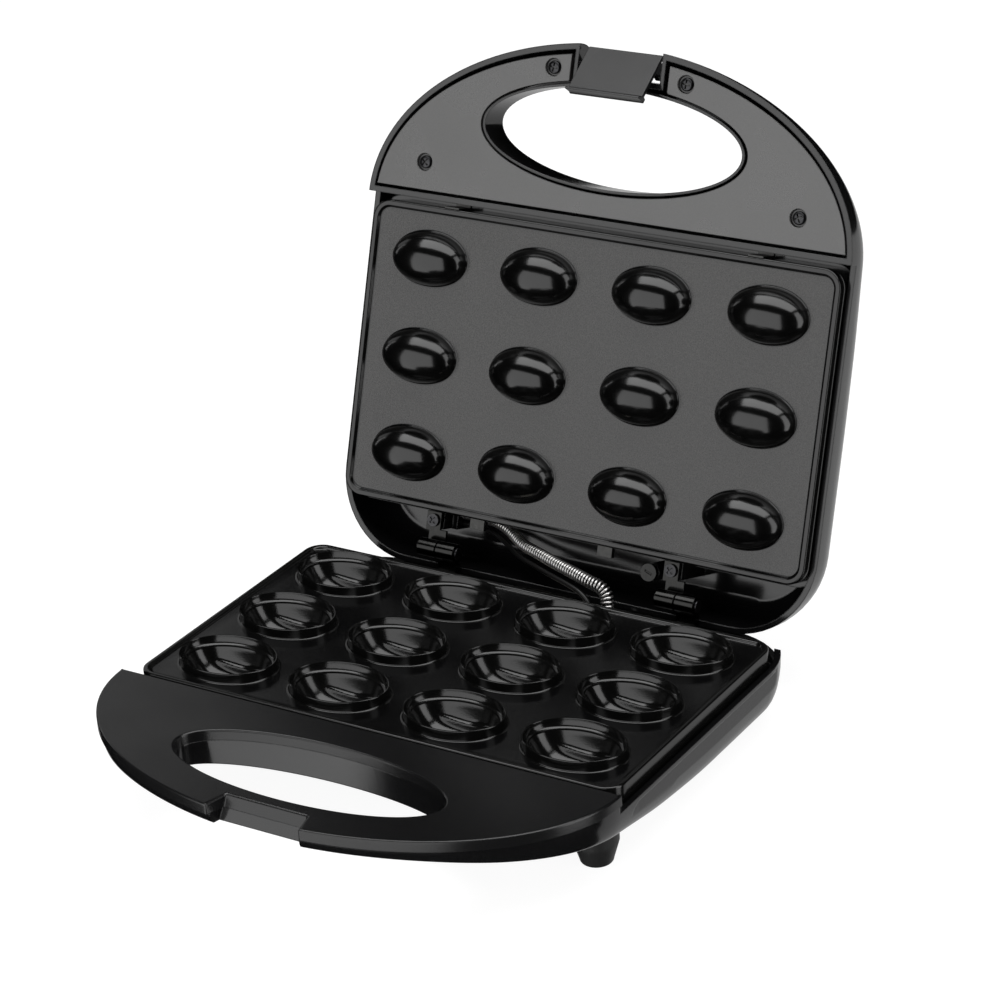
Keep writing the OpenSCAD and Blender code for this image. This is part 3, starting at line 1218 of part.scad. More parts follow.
base_shell();
lower_handle_cover();
lower_cover_screws();
lower_plate();
lower_plate_screws();
lower_heater();
lower_heater_ends();
lower_reflector();
thermostat();
thermal_fuse();
terminal_block();
cord_bushing();
base_hinge_leaves();
base_hinge_screws();
hinge_pins();
front_feet();
rear_feet();
wiring_conduit();
earth_lead();
lid_shell();
lid_handle_cover();
lid_cover_screws();
upper_plate();
upper_plate_tabs();
upper_heater();
upper_heater_ends();
upper_reflector();
lid_hinge_leaves();
lid_hinge_screws();
earth_screw();
indicator_lenses();
indicator_lamps();
latch_pin();
latch_spring();
latch();
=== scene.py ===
import bmesh
import bpy
import json
import math
from mathutils import Matrix, Vector


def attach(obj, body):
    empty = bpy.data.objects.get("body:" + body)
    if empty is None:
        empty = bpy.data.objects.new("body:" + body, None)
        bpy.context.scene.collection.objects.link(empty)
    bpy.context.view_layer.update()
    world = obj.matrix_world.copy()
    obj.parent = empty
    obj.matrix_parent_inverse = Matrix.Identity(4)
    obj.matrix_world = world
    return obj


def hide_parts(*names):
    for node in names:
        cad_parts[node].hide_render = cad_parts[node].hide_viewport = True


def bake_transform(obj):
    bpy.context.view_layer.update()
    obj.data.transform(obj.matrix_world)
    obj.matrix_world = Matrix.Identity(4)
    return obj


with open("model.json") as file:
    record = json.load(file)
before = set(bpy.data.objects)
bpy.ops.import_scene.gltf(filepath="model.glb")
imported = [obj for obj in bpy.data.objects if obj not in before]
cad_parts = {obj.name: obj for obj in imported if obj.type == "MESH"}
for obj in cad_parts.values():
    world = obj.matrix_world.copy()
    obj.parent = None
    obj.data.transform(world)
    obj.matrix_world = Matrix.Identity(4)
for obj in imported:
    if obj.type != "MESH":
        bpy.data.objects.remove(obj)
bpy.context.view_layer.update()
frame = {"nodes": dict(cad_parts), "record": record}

scene = bpy.context.scene

# Sizes in millimetres, in the grid's own frame: zero at the middle of the cup grid, at the
# height of the cup rims, lid shut. toTable, toLid and toLatch carry them to where they stand.
whole = {
    "gridSetback": 10.1, "rimHeight": 40.5,
    "hinge": (0, 79.4, -3.7), "lidOpen": 109.2,
    "latch": (0, -130.8, 3.85), "latchLean": 51.4,
    "pitchX": 53.5, "pitchY": 41.6, "columns": 4, "rows": 3,
}
millimetre = 0.001
toTable = Matrix.Scale(millimetre, 4) @ Matrix.Translation((0, -whole["gridSetback"], whole["rimHeight"]))
hingePoint = Matrix.Translation(whole["hinge"])
lidTurn = Matrix.Rotation(math.radians(-whole["lidOpen"]), 4, "X")
latchTurn = Matrix.Rotation(math.radians(whole["latchLean"]), 4, "X")
toLid = toTable @ hingePoint @ lidTurn @ hingePoint.inverted()
toLatch = toLid @ Matrix.Translation(whole["latch"]) @ latchTurn
bodyOf = {node: body for body, nodes in frame["record"]["behaviour"]["bodies"].items() for node in nodes}


# Camera, lights and floor, in metres
studio = {
    "eye": (0.66493, -0.98236, 0.66176), "lens": 120.69, "sensor": 36, "seesTo": 40,
    "right": (0.850287, 0.522636, -0.062164), "down": (0.176537, -0.394474, -0.90179),
    "ahead": (-0.49583, 0.755806, -0.427681),
    "floorHalf": 9, "floorTone": 0.16, "floorRough": 0.5, "floorGlow": 0.93, "backdrop": 1.0,
    # where each soft light stands, what it faces, its width, height and brightness
    "lights": {
        "frontBox": ((-0.3, -1.4, 0.2), (-0.05, 0, 0.15), 2.1, 2.3, 2.1),
        "overheadBox": ((0.2, 0, 2.3), (0.2, 0, 0), 3.3, 1.5, 4.0),
        "rightStrip": ((1.6, -0.05, 0.35), (0, -0.05, 0.35), 0.75, 2.3, 2.8),
        "leftEdge": ((-1.6, 0.22, 0.5), (0, 0.1, 0.2), 0.12, 0.9, 1.6),
        "backFill": ((-1.95, 1.15, 0.95), (0, 0, 0.1), 1.5, 1.0, 0.5),
        "floorBounce": ((0, 0.9, -0.5), (0, 0.15, 0.15), 2.4, 1.2, 0.6),
    },
}


def aimCamera():
    data = bpy.data.cameras.new("camera")
    data.lens = studio["lens"]
    data.sensor_width = studio["sensor"]
    data.clip_end = studio["seesTo"]
    camera = bpy.data.objects.new("camera", data)
    scene.collection.objects.link(camera)
    right, down, ahead = (Vector(studio[k]) for k in ("right", "down", "ahead"))
    turn = Matrix((right, -down, -ahead)).transposed().to_4x4()
    camera.matrix_world = Matrix.Translation(studio["eye"]) @ turn
    scene.camera = camera


def softLight(name, spot, target, width, height, brightness):
    data = bpy.data.lights.new(name, "AREA")
    data.shape = "RECTANGLE"
    data.size = width
    data.size_y = height
    data.energy = brightness * math.pi * width * height
    lamp = bpy.data.objects.new(name, data)
    scene.collection.objects.link(lamp)
    lamp.location = spot
    lamp.rotation_euler = (Vector(target) - Vector(spot)).to_track_quat("-Z", "Y").to_euler()
    lamp.visible_camera = False


def layFloor():
    mesh = bpy.data.meshes.new("floor")
    half = studio["floorHalf"]
    corners = [(-half, -half, 0), (half, -half, 0), (half, half, 0), (-half, half, 0)]
    mesh.from_pydata(corners, [], [(0, 1, 2, 3)])
    floor = bpy.data.objects.new("floor", mesh)
    scene.collection.objects.link(floor)
    paper = bpy.data.materials.new("paleFloor")
    paper.use_nodes = True
    shader = paper.node_tree.nodes["Principled BSDF"]
    tone = studio["floorTone"]
    shader.inputs["Base Color"].default_value = (tone, tone, tone, 1)
    shader.inputs["Roughness"].default_value = studio["floorRough"]
    shader.inputs["Emission Color"].default_value = (1, 1, 1, 1)
    shader.inputs["Emission Strength"].default_value = studio["floorGlow"]
    paper.cycles.emission_sampling = "NONE"
    mesh.materials.append(paper)
    # the glossy parts mirror the lights alone, and the floor holds back no light from below
    floor.visible_glossy = False
    floor.visible_shadow = False


def setStudio():
    aimCamera()
    for name, values in studio["lights"].items():
        softLight(name, *values)
    world = bpy.data.worlds.new("studio")
    world.use_nodes = True
    sky = world.node_tree.nodes["Background"]
    sky.inputs["Color"].default_value = (1, 1, 1, 1)
    sky.inputs["Strength"].default_value = studio["backdrop"]
    world.cycles_visibility.diffuse = False
    world.cycles_visibility.glossy = False
    scene.world = world
    scene.view_settings.view_transform = "Standard"
    layFloor()


setStudio()
print("studio set")


# Finishes
surface = {
    "coatRough": 0.08, "leastRough": 0.02, "grainDetail": 5, "darkBelow": 0.35, "paleAbove": 0.65,
    "driftScale": 38, "driftDetail": 3, "bumpDistance": 0.0002, "edgeSamples": 4,
}


def finish(name, colour, rough, grain=1500, depth=0.05, metal=0.0, gloss=0.5, coat=0.0,
           tint=0.12, drift=0.05, stretch=(1, 1, 1), edge=0.0, alpha=1.0):
    made = bpy.data.materials.new(name)
    made.use_nodes = True
    nodes, links = made.node_tree.nodes, made.node_tree.links
    shader = nodes["Principled BSDF"]
    shader.inputs["Metallic"].default_value = metal
    shader.inputs["Specular IOR Level"].default_value = gloss
    shader.inputs["Coat Weight"].default_value = coat
    shader.inputs["Coat Roughness"].default_value = surface["coatRough"]
    shader.inputs["Alpha"].default_value = alpha
    place = nodes.new("ShaderNodeTexCoord")
    spread = nodes.new("ShaderNodeMapping")
    spread.inputs["Scale"].default_value = stretch
    links.new(place.outputs["Object"], spread.inputs["Vector"])
    # fine grain, which drives both the bump and the small colour changes
    fine = nodes.new("ShaderNodeTexNoise")
    fine.inputs["Scale"].default_value = grain
    fine.inputs["Detail"].default_value = surface["grainDetail"]
    links.new(spread.outputs["Vector"], fine.inputs["Vector"])
    ramp = nodes.new("ShaderNodeValToRGB")
    dark, pale = ramp.color_ramp.elements
    dark.position = surface["darkBelow"]
    pale.position = surface["paleAbove"]
    dark.color = [c * (1 - tint) for c in colour] + [1]
    pale.color = [min(1, c * (1 + tint)) for c in colour] + [1]
    links.new(fine.outputs["Fac"], ramp.inputs["Fac"])
    links.new(ramp.outputs["Color"], shader.inputs["Base Color"])
    # slow drift of the roughness, as handled and wiped surfaces have
    slow = nodes.new("ShaderNodeTexNoise")
    slow.inputs["Scale"].default_value = surface["driftScale"]
    slow.inputs["Detail"].default_value = surface["driftDetail"]
    links.new(spread.outputs["Vector"], slow.inputs["Vector"])
    span = nodes.new("ShaderNodeMapRange")
    span.inputs["To Min"].default_value = max(surface["leastRough"], rough - drift)
    span.inputs["To Max"].default_value = min(1, rough + drift)
    links.new(slow.outputs["Fac"], span.inputs["Value"])
    links.new(span.outputs["Result"], shader.inputs["Roughness"])
    bump = nodes.new("ShaderNodeBump")
    bump.inputs["Strength"].default_value = depth
    bump.inputs["Distance"].default_value = surface["bumpDistance"]
    links.new(fine.outputs["Fac"], bump.inputs["Height"])
    if edge:
        rounded = nodes.new("ShaderNodeBevel")
        rounded.samples = surface["edgeSamples"]
        rounded.inputs["Radius"].default_value = edge
        links.new(rounded.outputs["Normal"], bump.inputs["Normal"])
    links.new(bump.outputs["Normal"], shader.inputs["Normal"])
    return made


# black of the moulded shells, also laid as painted shade in the cover screws' cross recesses and sinks
mouldedBlack = finish("mouldedBlack", (0.004, 0.004, 0.0042), 0.12, grain=700, depth=0.02, edge=0.0007)
handleSatin = finish("handleSatin", (0.005, 0.005, 0.0052), 0.21, grain=2600, depth=0.08, gloss=0.42,
                     edge=0.0003)
coverSatin = finish("coverSatin", (0.025, 0.0247, 0.0243), 0.28, grain=2600, depth=0.16, gloss=0.85, tint=0.2,
                    edge=0.0003)
latchSatin = finish("latchSatin", (0.004, 0.004, 0.0042), 0.3, grain=2400, depth=0.1, gloss=0.3)
cupPlateCoat = finish("cupPlateCoat", (0.0025, 0.0025, 0.0026), 0.15, grain=2600, depth=0.1, gloss=0.28,
                      tint=0.3)
cupGloss = finish("cupGloss", (0.003, 0.003, 0.0029), 0.14, grain=2200, depth=0.08, gloss=0.45, tint=0.4)
domePlateCoat = finish("domePlateCoat", (0.0145, 0.0141, 0.0135), 0.22, depth=0.3, tint=0.5)
domeGloss = finish("domeGloss", (0.0015, 0.0015, 0.0015), 0.16, grain=900, depth=0.03, gloss=0.45)
tabSteel = finish("tabSteel", (0.042, 0.042, 0.041), 0.3, grain=700, depth=0.08, metal=1)
zincSteel = finish("zincSteel", (0.42, 0.42, 0.43), 0.32, grain=900, depth=0.08, metal=1, stretch=(1, 1, 6))
darkSteel = finish("darkSteel", (0.04, 0.04, 0.042), 0.3, grain=900, depth=0.06, metal=1)
hingeNickel = finish("hingeNickel", (0.024, 0.024, 0.0235), 0.16, grain=700, depth=0.06, metal=1,
                     stretch=(5, 1, 1))
conduitSteel = finish("conduitSteel", (0.58, 0.57, 0.56), 0.34, grain=500, metal=1)
sheathSteel = finish("sheathSteel", (0.30, 0.27, 0.23), 0.42, grain=300, depth=0.2, metal=1, tint=0.3)
brightSheet = finish("brightSheet", (0.62, 0.62, 0.63), 0.28, grain=260, depth=0.2, metal=1,
                     stretch=(14, 1, 1))
stoneware = finish("stoneware", (0.66, 0.63, 0.56), 0.55, grain=900, depth=0.15)
softRubber = finish("softRubber", (0.008, 0.008, 0.008), 0.5, grain=1600, depth=0.25, gloss=0.4)
blackSleeve = finish("blackSleeve", (0.004, 0.004, 0.004), 0.35, grain=1200, depth=0.1, gloss=0.3)
redLens = finish("redLens", (0.42, 0.02, 0.012), 0.12, grain=500, depth=0.02, coat=0.4)
clearBulb = finish("clearBulb", (0.75, 0.7, 0.6), 0.1, grain=400, depth=0.02, alpha=0.45)
print("finishes made")


# Outlines: closed lines of points, anticlockwise seen from above
# a corner turns by more than sharpTurn, and its rounding takes cornerShare of its sides at most
outlineRules = {"sharpTurn": 20, "cornerShare": 0.45, "leastMiddle": 0.5}


def ovalLine(halfLength, halfWidth, centre=(0, 0), count=72):
    turns = [2 * math.pi * i / count for i in range(count)]
    x, y = centre
    return [Vector((x + halfLength * math.cos(q), y + halfWidth * math.sin(q))) for q in turns]


def roundedBox(halfLength, halfWidth, radius, perCorner=12):
    line = []
    for number, (sx, sy) in enumerate(((1, 1), (-1, 1), (-1, -1), (1, -1))):
        for i in range(perCorner + 1):
            q = math.pi / 2 * (number + i / perCorner)
            line.append(Vector((sx * (halfLength - radius) + radius * math.cos(q),
                                sy * (halfWidth - radius) + radius * math.sin(q))))
    return line


def inset(line, depth):
    moved = []
    for i, point in enumerate(line):
        before, after = line[i - 1], line[(i + 1) % len(line)]
        a, b = (point - before).normalized(), (after - point).normalized()
        na, nb = Vector((-a.y, a.x)), Vector((-b.y, b.x))
        middle = (na + nb).normalized()
        moved.append(point + middle * depth / max(outlineRules["leastMiddle"], middle.dot(na)))
    return moved


def softCorners(line, radius, steps=4):
    rounded = []
    for i, point in enumerate(line):
        before, after = line[i - 1], line[(i + 1) % len(line)]
        a, b = (point - before), (after - point)
        turn = a.angle(b)
        if turn < math.radians(outlineRules["sharpTurn"]):
            rounded.append(point)
            continue
        longest = outlineRules["cornerShare"] * min(a.length, b.length)
        cut = min(radius * math.tan(turn / 2), longest)
        start, end = point - a.normalized() * cut, point + b.normalized() * cut
        for k in range(steps + 1):
            t = k / steps
            rounded.append(start * (1 - t) ** 2 + point * 2 * t * (1 - t) + end * t ** 2)
    return rounded


# Mesh making
def skin(bm, rings, slot=0):
    made = [[bm.verts.new(p) for p in ring] for ring in rings]
    count = len(rings[0])
    for a, b in zip(made, made[1:]):
        for i in range(count):
            j = (i + 1) % count
            bm.faces.new((a[i], a[j], b[j], b[i])).material_index = slot
    return made


def closeOver(bm, ring, tip):
    end = bm.verts.new(tip)
    for i in range(len(ring)):
        bm.faces.new((ring[i], ring[(i + 1) % len(ring)], end))


def closeLoop(bm, ring):
    for i in range(len(ring)):
        if not bm.edges.get((ring[i - 1], ring[i])):
            bm.edges.new((ring[i - 1], ring[i]))


def fillFlat(bm, loops, slot=0):
    edges = []
    for ring in loops:
        closeLoop(bm, ring)
        edges += [bm.edges.get((ring[i - 1], ring[i])) for i in range(len(ring))]
    made = bmesh.ops.triangle_fill(bm, edges=edges, use_beauty=True, use_dissolve=False)
    for item in made["geom"]:
        if isinstance(item, bmesh.types.BMFace):
            item.material_index = slot


def level(line, z):
    return [(p.x, p.y, z) for p in line]


def slab(bm, outer, holes, low, high, lowRound=0.0, highRound=0.0, slot=0, steps=4):
    lows, highs = [], []
    for number, line in enumerate([outer] + holes):
        side = 1 if number == 0 else -1
        rings = []
        for k in range(steps if lowRound else 0):
            q = math.pi / 2 * k / steps
            drawn = inset(line, side * lowRound * (1 - math.sin(q)))
            rings.append(level(drawn, low + lowRound * (1 - math.cos(q))))
        rings += [level(line, low + lowRound), level(line, high - highRound)]
        for k in range(1, steps + 1 if highRound else 1):
            q = math.pi / 2 * k / steps
            drawn = inset(line, side * highRound * (1 - math.cos(q)))
            rings.append(level(drawn, high - highRound * (1 - math.sin(q))))
        made = skin(bm, rings, slot)
        lows.append(made[0])
        highs.append(made[-1])
    fillFlat(bm, lows, slot)
    fillFlat(bm, highs, slot)


def toObject(bm, name, turnOut=True):
    if turnOut:
        bmesh.ops.recalc_face_normals(bm, faces=bm.faces)
    mesh = bpy.data.meshes.new(name)
    bm.to_mesh(mesh)
    bm.free()
    made = bpy.data.objects.new(name, mesh)
    scene.collection.objects.link(made)
    return made


def plainMesh(carrier):
    graph = bpy.context.evaluated_depsgraph_get()
    graph.update()
    ready = carrier.evaluated_get(graph)
    return bpy.data.meshes.new_from_object(ready, preserve_all_data_layers=True, depsgraph=graph)


def settle(piece):
    mesh = plainMesh(piece)
    piece.modifiers.clear()
    old = piece.data
    piece.data = mesh
    if old.users == 0:
        bpy.data.meshes.remove(old)


def carve(piece, tool, how="DIFFERENCE"):
    cut = piece.modifiers.new("cut", "BOOLEAN")
    cut.solver = "MANIFOLD"
    cut.operation = how
    cut.object = tool
    settle(piece)
    bpy.data.objects.remove(tool)


def carveAll(piece, tools):
    for tool in tools:
        carve(piece, tool)


def prism(line, low, high):
    bm = bmesh.new()
    slab(bm, line, [], low, high)
    return toObject(bm, "tool")


def block(x0, x1, y0, y1, z0, z1):
    return prism([Vector((x0, y0)), Vector((x1, y0)), Vector((x1, y1)), Vector((x0, y1))], z0, z1)


def rod(radius, x, y, z0, z1, count=40):
    return prism(ovalLine(radius, radius, (x, y), count), z0, z1)


def barAlongX(profile, x0, x1):
    bm = bmesh.new()
    made = skin(bm, [[(x, y, z) for y, z in profile] for x in (x0, x1)])
    fillFlat(bm, [made[0]])
    fillFlat(bm, [made[1]])
    return toObject(bm, "tool")


def joined(tools):
    first = tools[0]
    for tool in tools[1:]:
        carve(first, tool, "UNION")
    return first


def finishPiece(piece, name, where, finishes, nodes, sharp=34, weighted=True, rides=True):
    # pieces that run between two bodies ride on neither
    piece.name = name
    mesh = piece.data
    mesh.name = name
    mesh.transform(where)
    marks = [face.material_index for face in mesh.polygons]
    mesh.materials.clear()
    for item in finishes:
        mesh.materials.append(item)
    for face, mark in zip(mesh.polygons, marks):
        face.material_index = min(mark, len(finishes) - 1)
        face.use_smooth = True
    mesh.set_sharp_from_angle(angle=math.radians(sharp))
    if weighted:
        even = piece.modifiers.new("even", "WEIGHTED_NORMAL")
        even.keep_sharp = True
        even.weight = 80
        settle(piece)
    if rides:
        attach(piece, bodyOf[nodes[0]])
    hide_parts(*nodes)
    return piece


# The two moulded shells share one way of making: rings that run from the rim to the far face
shellShape = {
    "half": 113.9, "rear": 89.0, "corner": 36.0, "line": 65.6, "wall": 2.4, "fitGap": 0.4, "leastDraw": 0.3,
    "heights": (0, 0.2, 0.4, 0.55, 0.68, 0.78, 0.86, 0.92, 0.96, 0.985, 1.0),
    "draws": (0, 0.02, 0.06, 0.135, 0.235, 0.345, 0.47, 0.61, 0.75, 0.88, 1.0),
    "handleSteps": 40, "sideSteps": 16, "cornerSteps": 14,
    "smoothStep": 2.0, "smoothReach": 4,  # the far face's height is an average over nine places
    "wallBack": -66.4, "wallFront": -68.8,  # wall between the handle and the plates
    "coverSpots": ((88, -81.7), (-88, -81.7), (31, -128), (-31, -128)),
    "coverBoss": 3.4,
    "ledgeOuter": (112.5, 65.8, 10), "ledgeInner": (106.5, 59.8, 4),
    "past": 200, "sharp": 30,  # cutters run past the shells
}


def heightAt(table, y):
    reach = shellShape["smoothReach"]
    total = 0
    for k in range(-reach, reach + 1):
        place = max(table[0][0], min(table[-1][0], y + shellShape["smoothStep"] * k))
        for (y0, z0), (y1, z1) in zip(table, table[1:]):
            if y0 <= place <= y1:
                total += z0 + (z1 - z0) * (place - y0) / (y1 - y0)
                break
    return total / (2 * reach + 1)


def rimPoint(kind, t, drawn, reach):
    half, rear, corner = shellShape["half"], shellShape["rear"], shellShape["corner"]
    q = math.pi / 2 * t
    if kind == "handle":
        return (half - drawn) * math.sin(q), -shellShape["line"] - (reach - drawn) * math.cos(q)
    if kind == "side":
        return half - drawn, -shellShape["line"] + t * (rear - corner + shellShape["line"])
    return half - corner + (corner - drawn) * math.cos(q), rear - corner + (corner - drawn) * math.sin(q)


def shellLoft(name, form, start, skinDepth):
    handle, side, corner = (shellShape[k] for k in ("handleSteps", "sideSteps", "cornerSteps"))
    marks = [("handle", i / handle) for i in range(handle + 1)]
    marks += [("side", i / side) for i in range(1, side)]
    marks += [("corner", i / corner) for i in range(corner + 1)]
    table, reach = form["farFace"], form["reach"]
    full = abs(heightAt(table, 0) - start)
    up = math.copysign(1, heightAt(table, 0) - start)
    rings = []
    for h, share in zip(shellShape["heights"], shellShape["draws"]):
        right = []
        for kind, t in marks:
            y = rimPoint(kind, t, 0, reach)[1]
            deep = max(shellShape["leastDraw"], min(1, abs(heightAt(table, y) - start) / full))
            x, y = rimPoint(kind, t, skinDepth + form["draw"] * share * deep, reach)
            right.append((x, y, start + h * (heightAt(table, y) - up * skinDepth - start)))
        rings.append(right + [(-x, y, z) for x, y, z in reversed(right[1:])])
    bm = bmesh.new()
    made = skin(bm, rings)
    for ring in (made[0], made[-1]):
        n = len(ring)
        bm.faces.new((ring[0], ring[1], ring[n - 1]))
        for i in range(1, (n - 1) // 2):
            bm.faces.new((ring[i], ring[i + 1], ring[n - i - 1], ring[n - i]))
    return toObject(bm, name)


def hollowShell(name, form, fittings, cuts):
    outer = shellLoft(name, form, form["rim"], 0)
    carve(outer, shellLoft("tool", form, form["innerRim"], shellShape["wall"]))
    fitted = joined(fittings)
    carve(fitted, shellLoft("tool", form, form["rim"], shellShape["fitGap"]), "INTERSECT")
    carve(outer, fitted, "UNION")
    carveAll(outer, cuts)
    return outer


# Lower shell: the handle, the box for the plate, its bosses, ribs, vents and the cord's inlet
baseForm = {
    "farFace": ((-150, -11), (-129, -11), (-66.4, -21), (-33.2, -27.67), (0, -31), (95, -31)),
    "rim": -6.5, "innerRim": -5.5, "draw": 6.5, "reach": 73.5, "floor": -31, "below": -60, "above": 20,
    "holeAt": -102.7, "holeWall": (61.8, 22.4), "hole": (60.2, 20.8), "holePoints": 96,
    "coverBore": 2.85, "coverBoreTop": -8.9,
    "screwX": 53.5, "screwY": 55, "screwBoss": 4.5, "screwBore": 2.95, "screwBoreTop": -25,
    "ledge": (-15.3, -13.3),
    "frontFoot": (96.4, -56.3), "rearFoot": (84, 68), "footBoss": 11.4, "footSink": 9.1,
    "footBossTops": (-20.0, -26.4), "footSinkTops": (-20.45, -28.8),
    "leafSeat": (57.6, 10.5), "leafSeatY": (64.35, 75.4), "leafSeatTop": -13,
    "conduitSeat": (3.95, 27.55, 73.4), "conduitSeatTop": -21.3,
    "rib": 0.8, "ribTop": -19.6, "ribX": 53.5, "ribY": 20.8, "ribAcross": 98, "ribAlong": (-66.5, 62.5),
    "boxRim": -10.4, "backFrom": 71.5, "backOpen": (-16.8, -9),
    "notchWall": (23.1, -141, -126.6), "notchHalf": 30,
    "notchProfile": ((-141, 1), (-141, -32), (-133.5, -32), (-133.5, -11), (-129, -2), (-129, 1)),
    "notchPlan": ((20.7, -141.2), (18.4, -129), (18.4, -128)), "notchDepth": (-33, 2),
    "panel": (-23.4, -12.4), "panelEnd": -51.5, "panelIn": 113.1, "panelOut": 130,
    "panelSteps": 16,
    "ventMiddle": 26.75, "ventPitch": 9, "vents": 5, "ventHalf": (1.5, 13), "ventRound": 1.4,
    "ventDepth": (-40, -27),
    "inletBore": 4.8, "inletX": 5, "inletZ": -23.9, "inletRun": (71, 100),
}


def baseFittings():
    form, past = baseForm, shellShape["past"]
    floor, rim, rib = form["floor"], form["rim"], form["rib"]
    notchHalf, notchFront, notchBack = form["notchWall"]
    made = [block(-past, past, shellShape["wallFront"], shellShape["wallBack"], floor, rim),
            prism(ovalLine(*form["holeWall"], (0, form["holeAt"])), floor, rim),
            block(-notchHalf, notchHalf, notchFront, notchBack, floor, rim)]
    made += [rod(shellShape["coverBoss"], x, y, floor, rim) for x, y in shellShape["coverSpots"]]
    for x in (form["screwX"], -form["screwX"]):
        for y in (form["screwY"], -form["screwY"]):
            made.append(rod(form["screwBoss"], x, y, floor, form["ledge"][1]))
    seat, seatWide = form["leafSeat"]
    for s in (-1, 1):
        for (x, y), top in zip((form["frontFoot"], form["rearFoot"]), form["footBossTops"]):
            made.append(rod(form["footBoss"], s * x, y, floor, top))
        made.append(block(s * seat, s * seat + seatWide, *form["leafSeatY"], floor, form["leafSeatTop"]))
    made.append(rod(*form["conduitSeat"], floor, form["conduitSeatTop"]))
    for y in (-form["ribY"], form["ribY"]):
        made.append(block(-form["ribAcross"], form["ribAcross"], y - rib, y + rib, floor, form["ribTop"]))
    for x in (-form["ribX"], 0, form["ribX"]):
        made.append(block(x - rib, x + rib, *form["ribAlong"], floor, form["ribTop"]))
    made.append(ledge(*form["ledge"]))
    return made


def latchNotch():
    form = baseForm
    notch = barAlongX(form["notchProfile"], -form["notchHalf"], form["notchHalf"])
    (xa, ya), (xb, yb), (xc, yc) = form["notchPlan"]
    plan = [(-xa, ya), (xa, ya), (xb, yb), (xc, yc), (-xc, yc), (-xb, yb)]
    carve(notch, prism([Vector(p) for p in plan], *form["notchDepth"]), "INTERSECT")
    return notch


def sidePanel(s):
    form = baseForm
    low, high = form["panel"]
    radius, middle, past = (high - low) / 2, (low + high) / 2, shellShape["past"]
    steps = form["panelSteps"]
    turns = [math.pi / 2 + math.pi * i / steps for i in range(steps + 1)]
    outline = [(past, low), (past, high)]
    outline += [(form["panelEnd"] + radius * math.cos(q), middle + radius * math.sin(q)) for q in turns]
    near, far = sorted((s * form["panelIn"], s * form["panelOut"]))
    return barAlongX(outline, near, far)


def floorVent(x):
    half, reach = baseForm["ventHalf"]
    corners = [(x - half, -reach), (x + half, -reach), (x + half, reach), (x - half, reach)]
    return prism(softCorners([Vector(p) for p in corners], baseForm["ventRound"]), *baseForm["ventDepth"])


def baseCuts():
    form, past = baseForm, shellShape["past"]
    below, above = form["below"], form["above"]
    made = [block(-past, past, shellShape["wallBack"], past, form["boxRim"], above),
            block(-past, past, form["backFrom"], past, *form["backOpen"]),
            prism(ovalLine(*form["hole"], (0, form["holeAt"]), form["holePoints"]), below, above),
            latchNotch()]
    for s in (-1, 1):
        made.append(sidePanel(s))
        for (x, y), top in zip((form["frontFoot"], form["rearFoot"]), form["footSinkTops"]):
            made.append(rod(form["footSink"], s * x, y, below, top))
        for i in range(form["vents"]):
            made.append(floorVent(s * form["ventMiddle"] + (i - (form["vents"] - 1) / 2) * form["ventPitch"]))
    made += [rod(form["coverBore"], x, y, below, form["coverBoreTop"]) for x, y in shellShape["coverSpots"]]
    for x in (form["screwX"], -form["screwX"]):
        for y in (form["screwY"], -form["screwY"]):
            made.append(rod(form["screwBore"], x, y, below, form["screwBoreTop"]))
    # the inlet is drawn upright and turned to run front to back
    inlet = rod(form["inletBore"], form["inletX"], -form["inletZ"], *form["inletRun"])
    inlet.data.transform(Matrix.Rotation(math.radians(-90), 4, "X"))
    return made + [inlet]


# Upper shell: the handle, the box for the plate, its bosses, the lamps' holes and the latch's bearings
lidForm = {
    "farFace": ((-150, 8.5), (-129, 8.5), (-66.4, 20), (-33.2, 25.3), (0, 27.1), (95, 27.1)),
    "rim": -0.8, "innerRim": -1.8, "draw": 10, "reach": 74.6, "roof": 27, "below": -20, "above": 60,
    "holeAt": -102, "holeWall": (61.5, 21.8), "hole": (60.3, 20.6), "holePoints": 96,
    "latchWall": (19.4, -127.8, -124.4), "latchCheek": (19.4, 21.1, -141, -124.4),
    "latchOpen": (19.4, -145, -126.8),
    "pinBore": 1.27, "pinReach": 26,
    "leafSeat": (57.6, -10.5, -3.5), "leafSeatY": (64.35, 71.85), "leafSeatLow": 2.6,
    "heaterBoss": (4, 78.4, 34.4, 14), "lampBoss": 4.6, "lampBossLow": 10, "lampBore": 3.5, "lampBoreLow": 9,
    "lampSpot": (12, -54), "coverBossLow": 1.7, "ledge": (9.1, 11.1),
    "tabSeats": (-47.5, 15), "tabSeatHalf": 3.5, "tabSeatY": (64.8, 69.8),
    "earthBoss": (3.8, 40, 71), "earthBossLow": 2.6, "clampSeat": (-62.85, -58.45, 61.35, 72, 10.75),
    "boxRim": 4.2,
}


